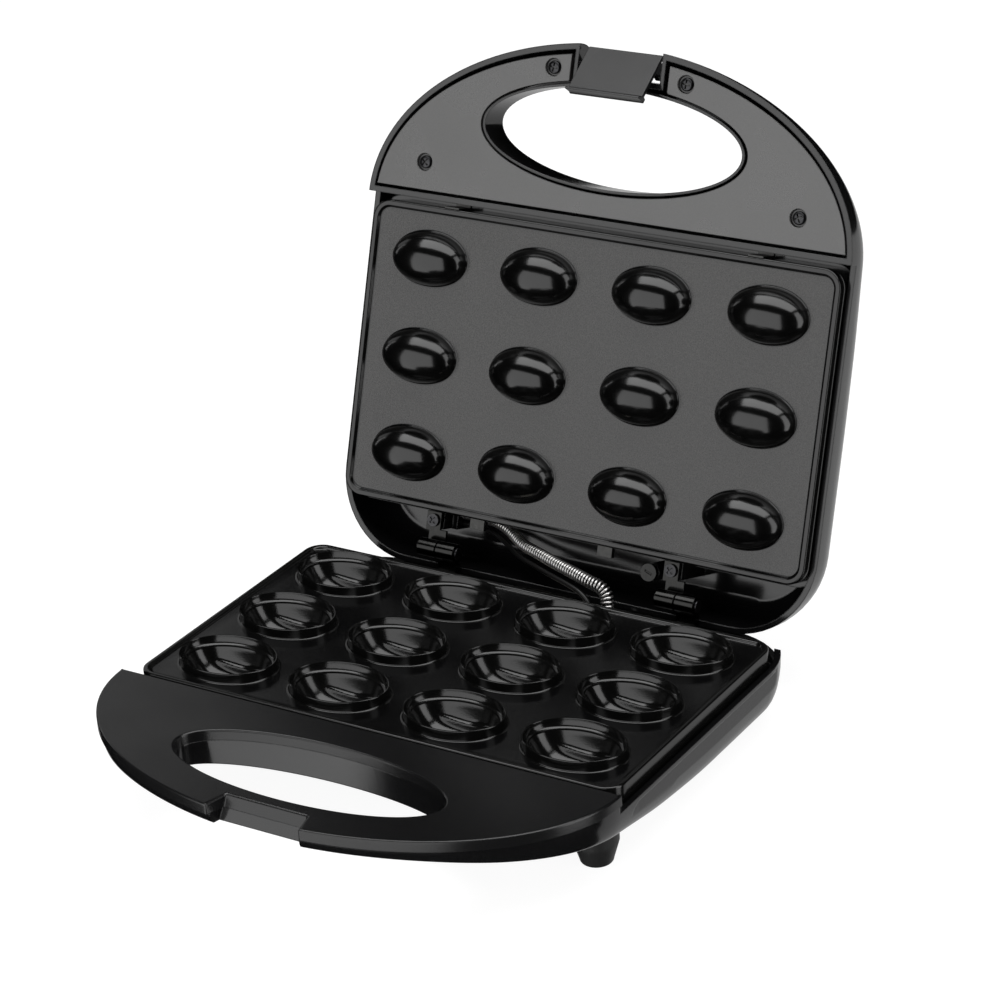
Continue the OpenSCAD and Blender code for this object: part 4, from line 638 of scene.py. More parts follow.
def lidFittings():
    form, past = lidForm, shellShape["past"]
    rim, roof = form["rim"], form["roof"]
    half, front, back = form["latchWall"]
    made = [block(-past, past, shellShape["wallFront"], shellShape["wallBack"], rim, roof),
            prism(ovalLine(*form["holeWall"], (0, form["holeAt"]), form["holePoints"]), rim, roof),
            block(-half, half, front, back, rim, roof)]
    inner, outer, front, back = form["latchCheek"]
    seat, seatFrom, seatTo = form["leafSeat"]
    radius, x, y, low = form["heaterBoss"]
    lampX, lampY = form["lampSpot"]
    for s in (-1, 1):
        made.append(block(*sorted((s * inner, s * outer)), front, back, rim, roof))
        near, far = s * seat + seatFrom, s * seat + seatTo
        made.append(block(near, far, *form["leafSeatY"], form["leafSeatLow"], roof))
        made += [rod(radius, s * x, t * y, low, roof) for t in (-1, 1)]
        made.append(rod(form["lampBoss"], s * lampX, lampY, form["lampBossLow"], roof))
    for x, y in shellShape["coverSpots"]:
        made.append(rod(shellShape["coverBoss"], x, y, form["coverBossLow"], roof))
    half = form["tabSeatHalf"]
    for x in form["tabSeats"]:
        made.append(block(x - half, x + half, *form["tabSeatY"], *form["ledge"]))
    made.append(rod(*form["earthBoss"], form["earthBossLow"], roof))
    made.append(block(*form["clampSeat"], roof))
    made.append(ledge(*form["ledge"]))
    return made


def lidCuts():
    form, past = lidForm, shellShape["past"]
    below, above = form["below"], form["above"]
    half, front, back = form["latchOpen"]
    lampX, lampY = form["lampSpot"]
    made = [block(-past, past, shellShape["wallBack"], past, below, form["boxRim"]),
            prism(ovalLine(*form["hole"], (0, form["holeAt"]), form["holePoints"]), below, above),
            block(-half, half, front, back, below, above)]
    made += [rod(form["lampBore"], s * lampX, lampY, form["lampBoreLow"], above) for s in (-1, 1)]
    # the pin's bore is drawn upright and turned to run along x
    x, y, z = whole["latch"]
    pin = rod(form["pinBore"], z, y, -form["pinReach"], form["pinReach"])
    pin.data.transform(Matrix(((0, 0, 1, 0), (0, 1, 0, 0), (1, 0, 0, 0), (0, 0, 0, 1))))
    pin.data.flip_normals()
    return made + [pin]


def ledge(low, high):
    bm = bmesh.new()
    slab(bm, roundedBox(*shellShape["ledgeOuter"]), [roundedBox(*shellShape["ledgeInner"])], low, high)
    return toObject(bm, "tool")


def makeShells():
    base = hollowShell("baseShell", baseForm, baseFittings(), baseCuts())
    finishPiece(base, "baseShell", toTable, [mouldedBlack], ["base_shell"], sharp=shellShape["sharp"])
    lid = hollowShell("lidShell", lidForm, lidFittings(), lidCuts())
    finishPiece(lid, "lidShell", toLid, [mouldedBlack], ["lid_shell"], sharp=shellShape["sharp"])


# Handle covers, both cut from one half-round outline
handleShape = {"line": 65.6, "reach": 74.55, "half": 114.9, "steps": 160, "cornerClear": 0.3,
               "frontFrom": -100}
lowerCover = {"low": -6.5, "high": -2.0, "edge": 0.9, "back": 66.4, "round": 0.8, "roundSteps": 5,
              "hole": (60.2, 20.8), "holeAt": -102.7, "holePoints": 128, "sharp": 50,
              "notchFront": 20.7, "notchBack": 18.4, "notchY": -129.0, "notchClear": 0.2,
              "slopeHalf": 19.6, "slopeY": (-132, -127.9), "slope": 0.5}
upperCover = {"low": -0.5, "high": 1.7, "edge": 0.35, "back": 70.0, "round": 0.8, "gap": 4.2, "sharp": 50,
              "hole": (62.5, 22.8), "holeAt": -102.0, "holePoints": 128, "notch": 22.8,
              "notchReach": 74.6, "notchWidth": 115.0,
              "screwSink": 3.65, "sinkPoints": 40, "sinkFloor": 1.0, "sinkSkirt": 0.4, "sinkUnder": 0.05}


def handleLine(drawn, back):
    half, reach, steps = handleShape["half"] - drawn, handleShape["reach"] - drawn, handleShape["steps"]
    line = [Vector((half, -back)), Vector((-half, -back))]
    for i in range(steps + 1):
        q = math.pi + math.pi * i / steps
        point = Vector((half * math.cos(q), reach * math.sin(q) - handleShape["line"]))
        if point.y < -back - handleShape["cornerClear"]:
            line.append(point)
    return line


def openFront(line, half):
    far = handleShape["frontFrom"]
    kept = [p for p in line if abs(p.x) > half or p.y > far]
    split = next(i for i, p in enumerate(kept) if p.y < far and p.x > 0)
    return kept[:split], kept[split:]


def frontAt(x, reach, half):
    return -handleShape["line"] - reach * math.sqrt(1 - (x / half) ** 2)


def makeLowerCover():
    shape = lowerCover
    front, back, backY = shape["notchFront"], shape["notchBack"], shape["notchY"]
    left, right = openFront(handleLine(0, shape["back"]), front + shape["notchClear"])
    tip = frontAt(front, handleShape["reach"], handleShape["half"])
    notch = [Vector((-front, tip)), Vector((-back, backY)), Vector((back, backY)), Vector((front, tip))]
    outer = softCorners(left + notch + right, shape["round"])
    bm = bmesh.new()
    hole = ovalLine(*shape["hole"], (0, shape["holeAt"]), shape["holePoints"])
    slab(bm, outer, [hole], shape["low"], shape["high"], 0.0, shape["edge"], steps=shape["roundSteps"])
    # the notch's wall slopes, for the latch's hook to slide down
    nearY, farY = shape["slopeY"]
    for v in bm.verts:
        if abs(v.co.x) < shape["slopeHalf"] and nearY < v.co.y < farY:
            v.co.y -= shape["slope"] * (shape["high"] - v.co.z)
    piece = toObject(bm, "lowerHandleCover")
    finishPiece(piece, "lowerHandleCover", toTable, [handleSatin], ["lower_handle_cover"],
                sharp=shape["sharp"])


def makeUpperCover():
    shape = upperCover
    gap, notch = shape["gap"], shape["notch"]
    left, right = openFront(handleLine(gap, shape["back"]), notch)
    tip = frontAt(notch, shape["notchReach"] - gap, shape["notchWidth"] - gap)
    # the notch for the latch opens into the hand hole, so the cover is one horseshoe
    a, b = shape["hole"]
    count = shape["holePoints"]
    start = math.asin(notch / a)
    hole = []
    for i in range(count + 1):
        q = -math.pi / 2 - start - (2 * math.pi - 2 * start) * i / count
        hole.append(Vector((a * math.cos(q), shape["holeAt"] + b * math.sin(q))))
    horseshoe = left + [Vector((-notch, tip))] + hole + [Vector((notch, tip))] + right
    outer = softCorners(horseshoe, shape["round"])
    spots, points, sink = shellShape["coverSpots"], shape["sinkPoints"], shape["screwSink"]
    bm = bmesh.new()
    sinks = [ovalLine(sink, sink, spot, points) for spot in spots]
    slab(bm, outer, sinks, shape["low"], shape["high"], shape["edge"], 0.0)
    # each screw's sink gets a black disc for its floor: painted shade in the recess round the screw head
    wide, top = sink + shape["sinkSkirt"], shape["high"] - shape["sinkUnder"]
    for spot in spots:
        slab(bm, ovalLine(wide, wide, spot, points), [], shape["sinkFloor"], top, slot=1)
    piece = toObject(bm, "upperHandleCover")
    finishPiece(piece, "upperHandleCover", toLid, [coverSatin, mouldedBlack], ["lid_handle_cover"],
                sharp=shape["sharp"])


makeShells()
makeLowerCover()
makeUpperCover()
print("shells and covers made")


# Geometry Nodes trees
def newTree(name, inputs):
    tree = bpy.data.node_groups.new(name, "GeometryNodeTree")
    tree.interface.new_socket("Geometry", in_out="INPUT", socket_type="NodeSocketGeometry")
    for label, kind, value in inputs:
        socket = tree.interface.new_socket(label, in_out="INPUT", socket_type="NodeSocket" + kind)
        if value is not None:
            socket.default_value = value
    tree.interface.new_socket("Geometry", in_out="OUTPUT", socket_type="NodeSocketGeometry")
    start = tree.nodes.new("NodeGroupInput")
    end = tree.nodes.new("NodeGroupOutput")
    return tree, start, end


def endTree(tree, start, end, shape):
    real = tree.nodes.new("GeometryNodeRealizeInstances")
    coat = tree.nodes.new("GeometryNodeSetMaterial")
    tree.links.new(shape, real.inputs[0])
    tree.links.new(real.outputs[0], coat.inputs["Geometry"])
    tree.links.new(start.outputs["Finish"], coat.inputs["Material"])
    tree.links.new(coat.outputs[0], end.inputs[0])


def workOut(tree, how, a, b):
    node = tree.nodes.new("ShaderNodeMath")
    node.operation = how
    for socket, value in zip(node.inputs, (a, b)):
        if isinstance(value, (int, float)):
            socket.default_value = value
        else:
            tree.links.new(value, socket)
    return node.outputs[0]


def setInputs(modifier, values):
    for item in modifier.node_group.interface.items_tree:
        if item.item_type == "SOCKET" and item.in_out == "INPUT" and item.name in values:
            modifier[item.identifier] = values[item.name]


# A shape on a grid of places, as the cups and the domes lie
def gridTree():
    tree, start, end = newTree("rowsOfMoulds", [
        ("Shape", "Object", None), ("Columns", "Int", whole["columns"]), ("Rows", "Int", whole["rows"]),
        ("Pitch X", "Float", whole["pitchX"]), ("Pitch Y", "Float", whole["pitchY"]),
        ("Finish", "Material", None)])
    link = tree.links.new
    grid = tree.nodes.new("GeometryNodeMeshGrid")
    for count, axis in (("Columns", "X"), ("Rows", "Y")):
        gaps = workOut(tree, "SUBTRACT", start.outputs[count], 1)
        link(start.outputs[count], grid.inputs["Vertices " + axis])
        link(workOut(tree, "MULTIPLY", gaps, start.outputs["Pitch " + axis]), grid.inputs["Size " + axis])
    info = tree.nodes.new("GeometryNodeObjectInfo")
    link(start.outputs["Shape"], info.inputs["Object"])
    spread = tree.nodes.new("GeometryNodeInstanceOnPoints")
    link(grid.outputs["Mesh"], spread.inputs["Points"])
    link(info.outputs["Geometry"], spread.inputs["Instance"])
    endTree(tree, start, end, spread.outputs[0])
    return tree


# A shape on each point of the mesh it is given, turned by chance, as driven screws are
def screwTree():
    tree, start, end = newTree("drivenScrews", [
        ("Shape", "Object", None), ("Seed", "Int", 5), ("Finish", "Material", None)])
    link = tree.links.new
    info = tree.nodes.new("GeometryNodeObjectInfo")
    link(start.outputs["Shape"], info.inputs["Object"])
    chance = tree.nodes.new("FunctionNodeRandomValue")
    chance.data_type = "FLOAT"
    chance.inputs[3].default_value = math.pi / 2
    link(start.outputs["Seed"], chance.inputs["Seed"])
    turn = tree.nodes.new("ShaderNodeCombineXYZ")
    link(chance.outputs[1], turn.inputs["Z"])
    spread = tree.nodes.new("GeometryNodeInstanceOnPoints")
    link(start.outputs["Geometry"], spread.inputs["Points"])
    link(info.outputs["Geometry"], spread.inputs["Instance"])
    link(turn.outputs[0], spread.inputs["Rotation"])
    endTree(tree, start, end, spread.outputs[0])
    return tree


# Wire wound around a curve, or a plain cord along it where the coil's radius is zero
def coilTree():
    tree, start, end = newTree("woundWire", [
        ("Coil Radius", "Float", 0.0), ("Taper", "Float", 0.0), ("Wire Radius", "Float", 0.4),
        ("Curls", "Int", 10), ("Steps", "Int", 12), ("Sides", "Int", 16), ("Finish", "Material", None)])
    link = tree.links.new
    steps = workOut(tree, "MULTIPLY", start.outputs["Curls"], start.outputs["Steps"])
    places = workOut(tree, "ADD", steps, 1)
    even = tree.nodes.new("GeometryNodeResampleCurve")
    link(start.outputs["Geometry"], even.inputs["Curve"])
    link(places, even.inputs["Count"])
    index = tree.nodes.new("GeometryNodeInputIndex").outputs[0]
    turns = workOut(tree, "DIVIDE", index, start.outputs["Steps"])
    angle = workOut(tree, "MULTIPLY", turns, 2 * math.pi)
    drawn = workOut(tree, "MULTIPLY", workOut(tree, "DIVIDE", index, places), start.outputs["Taper"])
    radius = workOut(tree, "SUBTRACT", start.outputs["Coil Radius"], drawn)
    normal = tree.nodes.new("GeometryNodeInputNormal")
    tangent = tree.nodes.new("GeometryNodeInputTangent")
    across = tree.nodes.new("ShaderNodeVectorMath")
    across.operation = "CROSS_PRODUCT"
    link(tangent.outputs[0], across.inputs[0])
    link(normal.outputs[0], across.inputs[1])
    offset = tree.nodes.new("ShaderNodeVectorMath")
    for socket, how, direction in zip(offset.inputs, ("COSINE", "SINE"), (normal, across)):
        reach = workOut(tree, "MULTIPLY", workOut(tree, how, angle, 0), radius)
        scaled = tree.nodes.new("ShaderNodeVectorMath")
        scaled.operation = "SCALE"
        link(direction.outputs[0], scaled.inputs[0])
        link(reach, scaled.inputs["Scale"])
        link(scaled.outputs[0], socket)
    move = tree.nodes.new("GeometryNodeSetPosition")
    link(even.outputs[0], move.inputs["Geometry"])
    link(offset.outputs[0], move.inputs["Offset"])
    ring = tree.nodes.new("GeometryNodeCurvePrimitiveCircle")
    link(start.outputs["Sides"], ring.inputs["Resolution"])
    link(start.outputs["Wire Radius"], ring.inputs["Radius"])
    tube = tree.nodes.new("GeometryNodeCurveToMesh")
    tube.inputs["Fill Caps"].default_value = True
    link(move.outputs[0], tube.inputs["Curve"])
    link(ring.outputs[0], tube.inputs["Profile Curve"])
    endTree(tree, start, end, tube.outputs[0])
    return tree


rowsOfMoulds, drivenScrews, woundWire = gridTree(), screwTree(), coilTree()


def grown(name, data, tree, values):
    carrier = bpy.data.objects.new(name, data)
    scene.collection.objects.link(carrier)
    modifier = carrier.modifiers.new(name, "NODES")
    modifier.node_group = tree
    setInputs(modifier, values)
    mesh = plainMesh(carrier)
    bpy.data.objects.remove(carrier)
    made = bpy.data.objects.new(name, mesh)
    scene.collection.objects.link(made)
    return made


def merge(first, other, slot, reach=0.02):
    bm = bmesh.new()
    bm.from_mesh(first.data)
    before = len(bm.faces)
    bm.from_mesh(other.data)
    bm.faces.ensure_lookup_table()
    for face in bm.faces[before:]:
        face.material_index = slot
    bpy.data.objects.remove(other)
    bmesh.ops.remove_doubles(bm, verts=bm.verts, dist=reach)
    bmesh.ops.recalc_face_normals(bm, faces=bm.faces)
    bm.to_mesh(first.data)
    bm.free()


# Plates
cupShape = {
    # half length, half width and height of each ring: from the plate's face up the collar, over its
    # bead and down to the bowl
    "rim": ((22.7, 17.05, -4.5), (22.15, 16.5, -4.4), (21.75, 16.1, -4.15), (21.52, 15.87, -3.7),
            (21.5, 15.85, -0.45), (21.42, 15.77, -0.17), (21.2, 15.55, 0.0), (20.98, 15.33, -0.05),
            (20.85, 15.2, -0.25), (20.75, 15.08, -1.0), (20.4, 14.6, -2.1), (20.0, 14.1, -2.8),
            (19.6, 13.65, -3.1), (19.25, 13.35, -3.2), (19.08, 13.18, -3.28), (19.02, 13.1, -3.45),
            (19.0, 13.08, -4.05), (18.92, 12.98, -4.2)),
    "bowl": (18.8, 12.9, -4.25, 10.9), "bowlRings": 40, "power": 3.3, "points": 96,
    "under": (20.5, 13.8, -6.3), "underRadius": 14.2, "underRings": 9,
    # two long folds of the nut, one on each side of the bowl
    "foldHalf": 13.4, "foldAt": 8.8, "foldBend": 2.2, "foldHigh": 1.15, "foldWide": 1.6,
    "foldEnds": 4, "foldLeast": 0.15, "foldPeak": 1.2,
}
domeShape = {
    "halfLength": 17.9, "radius": 11.4, "fillet": 1.0, "face": 0.7, "points": 64, "wall": 1.8,
    "filletSteps": ((1, 0), (0.45, 0.1), (0.12, 0.4)),  # how far out and how far down the fillet's rings lie
    "startsAt": 5, "rings": 15, "hollowRings": 9,
}
plateShape = {"halfLength": 110.5, "halfWidth": 63.8, "corner": 8.0, "perCorner": 14, "sharp": 40}
# each plate's section runs from the hidden side, round the skirt and over the bead to the face
lowerPlate = {"face": -4.5, "back": -6.3, "section": (
    (3.0, -6.3), (2.2, -6.5), (1.8, -7.0), (1.8, -13.3), (0, -13.3), (0, -4.1), (0.12, -3.66), (0.45, -3.38),
    (0.9, -3.3), (1.9, -3.3), (2.35, -3.42), (2.62, -3.8), (2.8, -4.2), (3.1, -4.43), (3.6, -4.5))}
upperPlate = {"face": 0.7, "back": 2.5, "section": (
    (3.0, 2.5), (2.2, 2.7), (1.8, 3.2), (1.8, 9.1), (0, 9.1), (0, 3.35), (0.5, 3.2), (0.5, 1.8), (0, 1.65),
    (0, -0.3), (0.14, -0.66), (0.5, -0.88), (0.9, -0.9), (1.9, -0.9), (2.3, -0.8), (2.6, -0.4), (2.8, 0.25),
    (3.1, 0.58), (3.6, 0.7))}


def ovalRing(a, b, z, count):
    turns = [2 * math.pi * i / count for i in range(count)]
    return [(a * math.cos(q), b * math.sin(q), z) for q in turns]


# Height of the cup's floor: a bowl that steepens outwards, with the folds on it
def bowlPoint(x, y):
    shape = cupShape
    a, b, top, deep = shape["bowl"]
    share = math.sqrt((x / a) ** 2 + (y / b) ** 2)
    along = max(-1, min(1, x / shape["foldHalf"]))
    across = abs(y) - (shape["foldAt"] - shape["foldBend"] * along * along)
    swell = max(0, 1 - along ** shape["foldEnds"])
    wide = shape["foldWide"] * max(shape["foldLeast"], swell)
    fold = shape["foldHigh"] * swell * max(0, 1 - abs(across) / wide) ** shape["foldPeak"]
    return (x, y, top - deep * (1 - min(1, share) ** shape["power"]) + fold)


def cupTemplate():
    shape = cupShape
    count, steps = shape["points"], shape["bowlRings"]
    a, b, top, deep = shape["bowl"]
    bm = bmesh.new()
    rings = [ovalRing(*ring, count) for ring in shape["rim"]]
    for k in range(1, steps):
        share = 1 - k / steps
        rings.append([bowlPoint(x, y) for x, y, z in ovalRing(a * share, b * share, 0, count)])
    closeOver(bm, skin(bm, rings)[-1], (0, 0, top - deep))
    # outside of the bowl, under the plate
    ua, ub, uz = shape["under"]
    radius, steps = shape["underRadius"], shape["underRings"]
    q0 = math.acos(ub / radius)
    rings = [ovalRing(ua, ub, uz, count)]
    for k in range(1, steps):
        q = q0 + (math.pi / 2 - q0) * k / steps
        across = ua * math.cos(q) / math.cos(q0)
        rings.append(ovalRing(across, radius * math.cos(q), top - radius * math.sin(q), count))
    closeOver(bm, skin(bm, rings)[-1], (0, 0, top - radius))
    return toObject(bm, "cupShape", turnOut=False)


def domeTemplate():
    shape = domeShape
    a, b, f, wall = shape["halfLength"], shape["radius"], shape["fillet"], shape["wall"]
    face, count, steps = shape["face"], shape["points"], shape["rings"]
    start = math.radians(shape["startsAt"])
    bm = bmesh.new()
    rings = [ovalRing(a + out * f, b + out * f, face - down * f, count) for out, down in shape["filletSteps"]]
    for k in range(steps):
        q = start + (math.pi / 2 - start) * k / steps
        rings.append(ovalRing(a * math.cos(q), b * math.cos(q), face - b * math.sin(q), count))
    closeOver(bm, skin(bm, rings)[-1], (0, 0, face - b))
    # hollow behind
    a, b, face = a - wall, b - wall, face + wall
    rings = []
    for k in range(shape["hollowRings"]):
        q = math.pi / 2 * k / shape["hollowRings"]
        rings.append(ovalRing(a * math.cos(q), b * math.cos(q), face - b * math.sin(q), count))
    closeOver(bm, skin(bm, rings)[-1], (0, 0, face - b))
    return toObject(bm, "domeShape", turnOut=False)


def gridSpots():
    middleX, middleY = (whole["columns"] - 1) / 2, (whole["rows"] - 1) / 2
    for i in range(whole["columns"]):
        for j in range(whole["rows"]):
            yield (i - middleX) * whole["pitchX"], (j - middleY) * whole["pitchY"]


def panMesh(name, plate, faceOval, backOval, count):
    bm = bmesh.new()
    outline = roundedBox(*(plateShape[k] for k in ("halfLength", "halfWidth", "corner", "perCorner")))
    made = skin(bm, [level(inset(outline, d), z) for d, z in plate["section"]], slot=1)
    faces, backs = [made[-1]], [made[0]]
    for x, y in gridSpots():
        for loops, oval, z in ((faces, faceOval, plate["face"]), (backs, backOval, plate["back"])):
            loops.append([bm.verts.new((x + px, y + py, z)) for px, py, pz in ovalRing(*oval, 0, count)])
    fillFlat(bm, faces)
    fillFlat(bm, backs)
    return toObject(bm, name, turnOut=False)


def addMoulds(pan, template, coat):
    moulds = grown(template.name, bpy.data.meshes.new(template.name), rowsOfMoulds, {
        "Shape": template, "Columns": whole["columns"], "Rows": whole["rows"], "Pitch X": whole["pitchX"],
        "Pitch Y": whole["pitchY"], "Finish": coat})
    bpy.data.objects.remove(template)
    merge(pan, moulds, 1)


def makeLowerPlate():
    pan = panMesh("lowerPlate", lowerPlate, cupShape["rim"][0][:2], cupShape["under"][:2], cupShape["points"])
    addMoulds(pan, cupTemplate(), cupGloss)
    finishPiece(pan, "lowerPlate", toTable, [cupPlateCoat, cupGloss], ["lower_plate"],
                sharp=plateShape["sharp"])


def makeUpperPlate():
    a, b, f, wall = (domeShape[k] for k in ("halfLength", "radius", "fillet", "wall"))
    pan = panMesh("upperPlate", upperPlate, (a + f, b + f), (a - wall, b - wall), domeShape["points"])
    addMoulds(pan, domeTemplate(), domeGloss)
    finishPiece(pan, "upperPlate", toLid, [domePlateCoat, domeGloss], ["upper_plate"],
                sharp=plateShape["sharp"])


makeLowerPlate()
makeUpperPlate()
print("plates made")


# Screws of the upper handle's cover: pan heads with a cross recess
coverScrew = {
    "high": 1.2, "crossHalf": 1.9, "crossWide": 0.4, "crossDeep": 0.9, "shank": 1.4, "shankLong": 4.0,
    "underHead": 1.0, "head": 2.75, "headEdge": 0.12, "points": 48, "seed": 7,
    # shares of the head's radius and height
    "headCurve": ((1, 0.42), (0.93, 0.68), (0.78, 0.88), (0.5, 0.98), (0.2, 1)),
    "crossNear": 0.05, "flatBelow": 0.5, "floorShare": 0.6, "faceUnder": 0.02,
}


def screwTemplate():
    shape = coverScrew
    high, head, edge = shape["high"], shape["head"], shape["headEdge"]
    profile = [(shape["shank"], shape["shankLong"]), (shape["shank"], 0), (head - edge, 0), (head, -edge)]
    profile += [(head * out, -high * up) for out, up in shape["headCurve"]]
    bm = bmesh.new()
    made = skin(bm, [ovalRing(r, r, z, shape["points"]) for r, z in profile])
    fillFlat(bm, [made[0]])
    fillFlat(bm, [made[-1]])
    piece = toObject(bm, "screwShape")
    wide, long = shape["crossWide"], shape["crossHalf"]
    for x, y in ((long, wide), (wide, long)):
        carve(piece, block(-x, x, -y, y, -2 * high, shape["crossDeep"] - high))
    return piece


# faces of the cross recess, which take the black finish as painted shade
def paintedShadeInCross(face):
    shape = coverScrew
    x, y, z = face.center
    away = min(math.hypot(x - sx, y - sy) for sx, sy in shellShape["coverSpots"])
    near = away < shape["crossHalf"] + shape["crossNear"]
    wall = abs(face.normal.z) < shape["flatBelow"]
    floor = z > shape["underHead"] - shape["high"] + shape["floorShare"] * shape["crossDeep"]
    return near and (wall or floor) and z < shape["underHead"] - shape["faceUnder"]


def makeCoverScrews():
    shape = coverScrew
    screw = screwTemplate()
    points = bpy.data.meshes.new("screwSpots")
    points.from_pydata([(x, y, shape["underHead"]) for x, y in shellShape["coverSpots"]], [], [])
    made = grown("coverScrews", points, drivenScrews, {
        "Shape": screw, "Seed": shape["seed"], "Finish": darkSteel})
    bpy.data.objects.remove(screw)
    # the walls and the floor of the cross are painted black: painted shade in the recess
    for face in made.data.polygons:
        face.material_index = int(paintedShadeInCross(face))
    finishPiece(made, "coverScrews", toLid, [darkSteel, mouldedBlack], ["lid_cover_screws"], sharp=30)


makeCoverScrews()


# Wound conduit, the lead beside it and the latch's spring. The routes are counted from the hinge line,
# across in pitches of the cup grid, back and up in hinge knuckles
wires = {
    "knuckle": 4.0, "perStep": 10, "sharp": 60,
    "conduitRoute": ((0.515, -1.5, -5.7), (0.515, -1.5, -4.3), (0.515, -1.5, -2.95), (0.515, -1.5, -1.55),
                     (0.51, -1.05, -0.65), (0.455, -0.75, 0.25), (0.345, -0.75, 0.5), (0.185, 0, 0.7),
                     (-0.025, 0.95, 0.75), (-0.24, 2.15, 0.9), (-0.44, 3.15, 0.85), (-0.57, 4.45, 1.15),
                     (-0.725, 5.35, 1.7), (-0.895, 5.5, 1.8), (-0.99, 5.5, 1.8), (-1.085, 5.5, 1.8),
                     (-1.18, 5.5, 1.8)),
    "conduitRadius": 2.5, "conduitTaper": 0.6, "conduitWire": 0.5, "conduitCurls": 72,
    "conduitSteps": 16, "conduitSides": 8, "linerRadius": 1.7, "linerCurls": 12,
    "conduitBends": ((24, 76, -4), (-46, 101, 3.5)),  # from the base's end to the lid's
    "leadRoute": ((0.4, -2, -8.225), (0.4, -2, -7.225), (0.4, -2, -6.225), (0.4, -2, -4.1),
                  (0.398, -1.95, -2.6), (0.37, -1.8, -1.35), (0.3, -1.4, -0.65), (0.17, -0.75, -0.4),
                  (-0.04, 0.25, -0.35),
                  (-0.25, 1.4, -0.25), (-0.45, 2.5, -0.25), (-0.59, 3.75, 0.05), (-0.75, 4.75, 0.6),
                  (-0.902, 5.4, 0.65), (-0.997, 5.5, 0.65), (-1.092, 5.5, 0.65), (-1.187, 5.5, 0.65)),
    "leadRadius": 1.1, "leadCurls": 14, "leadBends": ((20, 76, -8), (-46, 101, -1)),
}
latchSpring = {"start": 17.2 / 3, "pitch": 1.2, "turns": 4.5, "radius": 1.8, "wire": 0.3, "leg": 3.3,
               "legSteps": 6, "perTurn": 24, "curls": 15, "sides": 10}


def smoothRoute(shares):
    y0, z0 = whole["hinge"][1:]
    pitch, knuckle, steps = whole["pitchX"], wires["knuckle"], wires["perStep"]
    knots = [Vector((x * pitch, y0 + y * knuckle, z0 + z * knuckle)) for x, y, z in shares]
    line = []
    for i in range(len(knots) - 3):
        p = knots[i:i + 4]
        for k in range(steps + (1 if i == len(knots) - 4 else 0)):
            u = k / steps
            line.append((p[0] * (1 - u) ** 3 + p[1] * (3 * u ** 3 - 6 * u * u + 4)
                         + p[2] * (-3 * u ** 3 + 3 * u * u + 3 * u + 1) + p[3] * u ** 3) / 6)
    return line


def curveOf(name, line):
    data = bpy.data.curves.new(name, "CURVE")
    data.dimensions = "3D"
    spline = data.splines.new("POLY")
    spline.points.add(len(line) - 1)
    for point, place in zip(spline.points, line):
        point.co = (*place, 1)
    return data


def cordAlong(name, line, radius, curls, coat, sides=16):
    return grown(name, curveOf(name + "Route", line), woundWire, {
        "Coil Radius": 0.0, "Wire Radius": radius, "Curls": curls, "Sides": sides, "Finish": coat})


def bendWithLid(piece, name, finishes, node):
    finishPiece(piece, name, toTable, finishes, [node], sharp=wires["sharp"], weighted=False, rides=False)
    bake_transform(piece)


def makeConduit():
    route = smoothRoute(wires["conduitRoute"])
    piece = grown("wiringConduit", curveOf("conduitRoute", route), woundWire, {
        "Coil Radius": wires["conduitRadius"], "Taper": wires["conduitTaper"],
        "Wire Radius": wires["conduitWire"], "Curls": wires["conduitCurls"],
        "Steps": wires["conduitSteps"], "Sides": wires["conduitSides"], "Finish": conduitSteel})
    # dark liner inside the coil, so that nothing shows through it
    merge(piece, cordAlong("conduitLiner", route, wires["linerRadius"], wires["linerCurls"], blackSleeve), 1)
    bendWithLid(piece, "wiringConduit", [conduitSteel, blackSleeve], "wiring_conduit")


def makeLead():
    route = smoothRoute(wires["leadRoute"])
    piece = cordAlong("earthLead", route, wires["leadRadius"], wires["leadCurls"], blackSleeve)
    bendWithLid(piece, "earthLead", [blackSleeve], "earth_lead")


def makeLatchSpring():
    shape = latchSpring
    start, pitch, radius, perTurn = shape["start"], shape["pitch"], shape["radius"], shape["perTurn"]
    leg, legSteps = shape["leg"], shape["legSteps"]
    line = [Vector((start, leg * k / legSteps - leg, -radius)) for k in range(legSteps)]
    for k in range(int(perTurn * shape["turns"]) + 1):
        q = 2 * math.pi * k / perTurn
        line.append(Vector((start + pitch * k / perTurn, radius * math.sin(q), -radius * math.cos(q))))
    last = start + pitch * shape["turns"]
    line += [Vector((last, -leg * k / legSteps, radius)) for k in range(1, legSteps + 1)]
    piece = cordAlong("latchSpring", line, shape["wire"], shape["curls"], zincSteel, shape["sides"])
    finishPiece(piece, "latchSpring", toLatch, [zincSteel], ["latch_spring"], sharp=wires["sharp"],
                weighted=False)


makeConduit()
makeLead()
makeLatchSpring()
print("wires made")


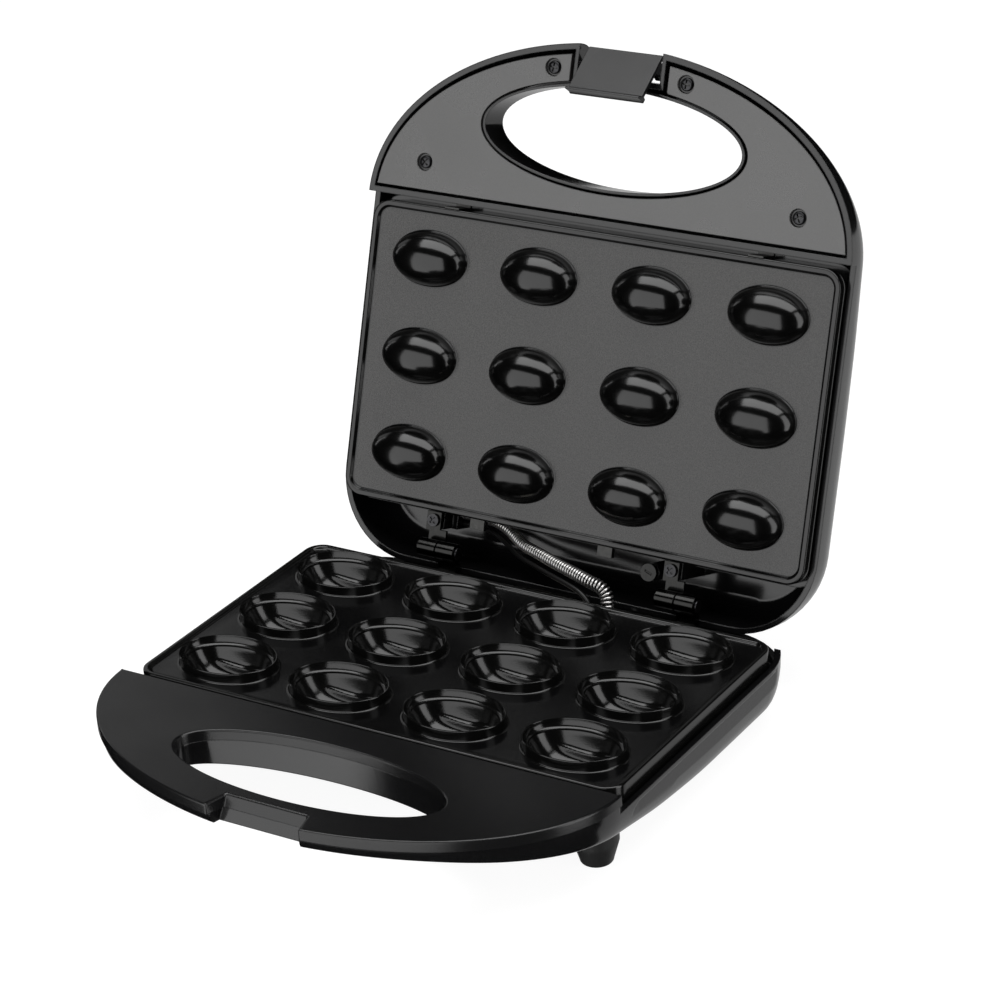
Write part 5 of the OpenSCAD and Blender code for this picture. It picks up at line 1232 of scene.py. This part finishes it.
# The other pieces keep their CAD shape, with real roundings along their edges
dressed = {
    "latch": (latchSatin, 0.45), "lower_cover_screws": (zincSteel, 0.15),
    "lower_plate_screws": (zincSteel, 0.15), "lower_heater": (sheathSteel, 0.0),
    "upper_heater": (sheathSteel, 0.0), "lower_heater_ends": (stoneware, 0.25),
    "upper_heater_ends": (stoneware, 0.25), "lower_reflector": (brightSheet, 0.15),
    "upper_reflector": (brightSheet, 0.15), "thermostat": (stoneware, 0.3), "thermal_fuse": (stoneware, 0.2),
    "terminal_block": (stoneware, 0.35), "cord_bushing": (softRubber, 0.3),
    "base_hinge_leaves": (hingeNickel, 0.3), "lid_hinge_leaves": (hingeNickel, 0.3),
    "base_hinge_screws": (darkSteel, 0.15),
    "lid_hinge_screws": (darkSteel, 0.15), "earth_screw": (hingeNickel, 0.2), "hinge_pins": (darkSteel, 0.2),
    "front_feet": (softRubber, 0.2), "rear_feet": (softRubber, 0.2), "upper_plate_tabs": (tabSteel, 0.1),
    "indicator_lenses": (redLens, 0.2), "indicator_lamps": (clearBulb, 0.2), "latch_pin": (zincSteel, 0.2),
}
dressing = {"sharp": 38, "segments": 2, "profile": 0.6, "together": 1e-6, "flatWithin": 1}


def camel(words):
    first, *rest = words.split("_")
    return first + "".join(w.capitalize() for w in rest)


def dressNode(node, coat, edge):
    bm = bmesh.new()
    bm.from_mesh(frame["nodes"][node].data)
    bmesh.ops.remove_doubles(bm, verts=bm.verts, dist=dressing["together"])
    flat = math.radians(dressing["flatWithin"])
    bmesh.ops.dissolve_limit(bm, angle_limit=flat, verts=bm.verts, edges=bm.edges)
    if edge:
        bend = math.radians(dressing["sharp"])
        hard = [e for e in bm.edges if e.is_manifold and e.calc_face_angle() > bend]
        bmesh.ops.bevel(bm, geom=hard, offset=edge * millimetre, segments=dressing["segments"],
                        profile=dressing["profile"], affect="EDGES", clamp_overlap=True)
    piece = toObject(bm, node, turnOut=False)
    finishPiece(piece, camel(node), Matrix.Identity(4), [coat], [node], sharp=dressing["sharp"])


for node, (coat, edge) in dressed.items():
    dressNode(node, coat, edge)
print("small pieces dressed")
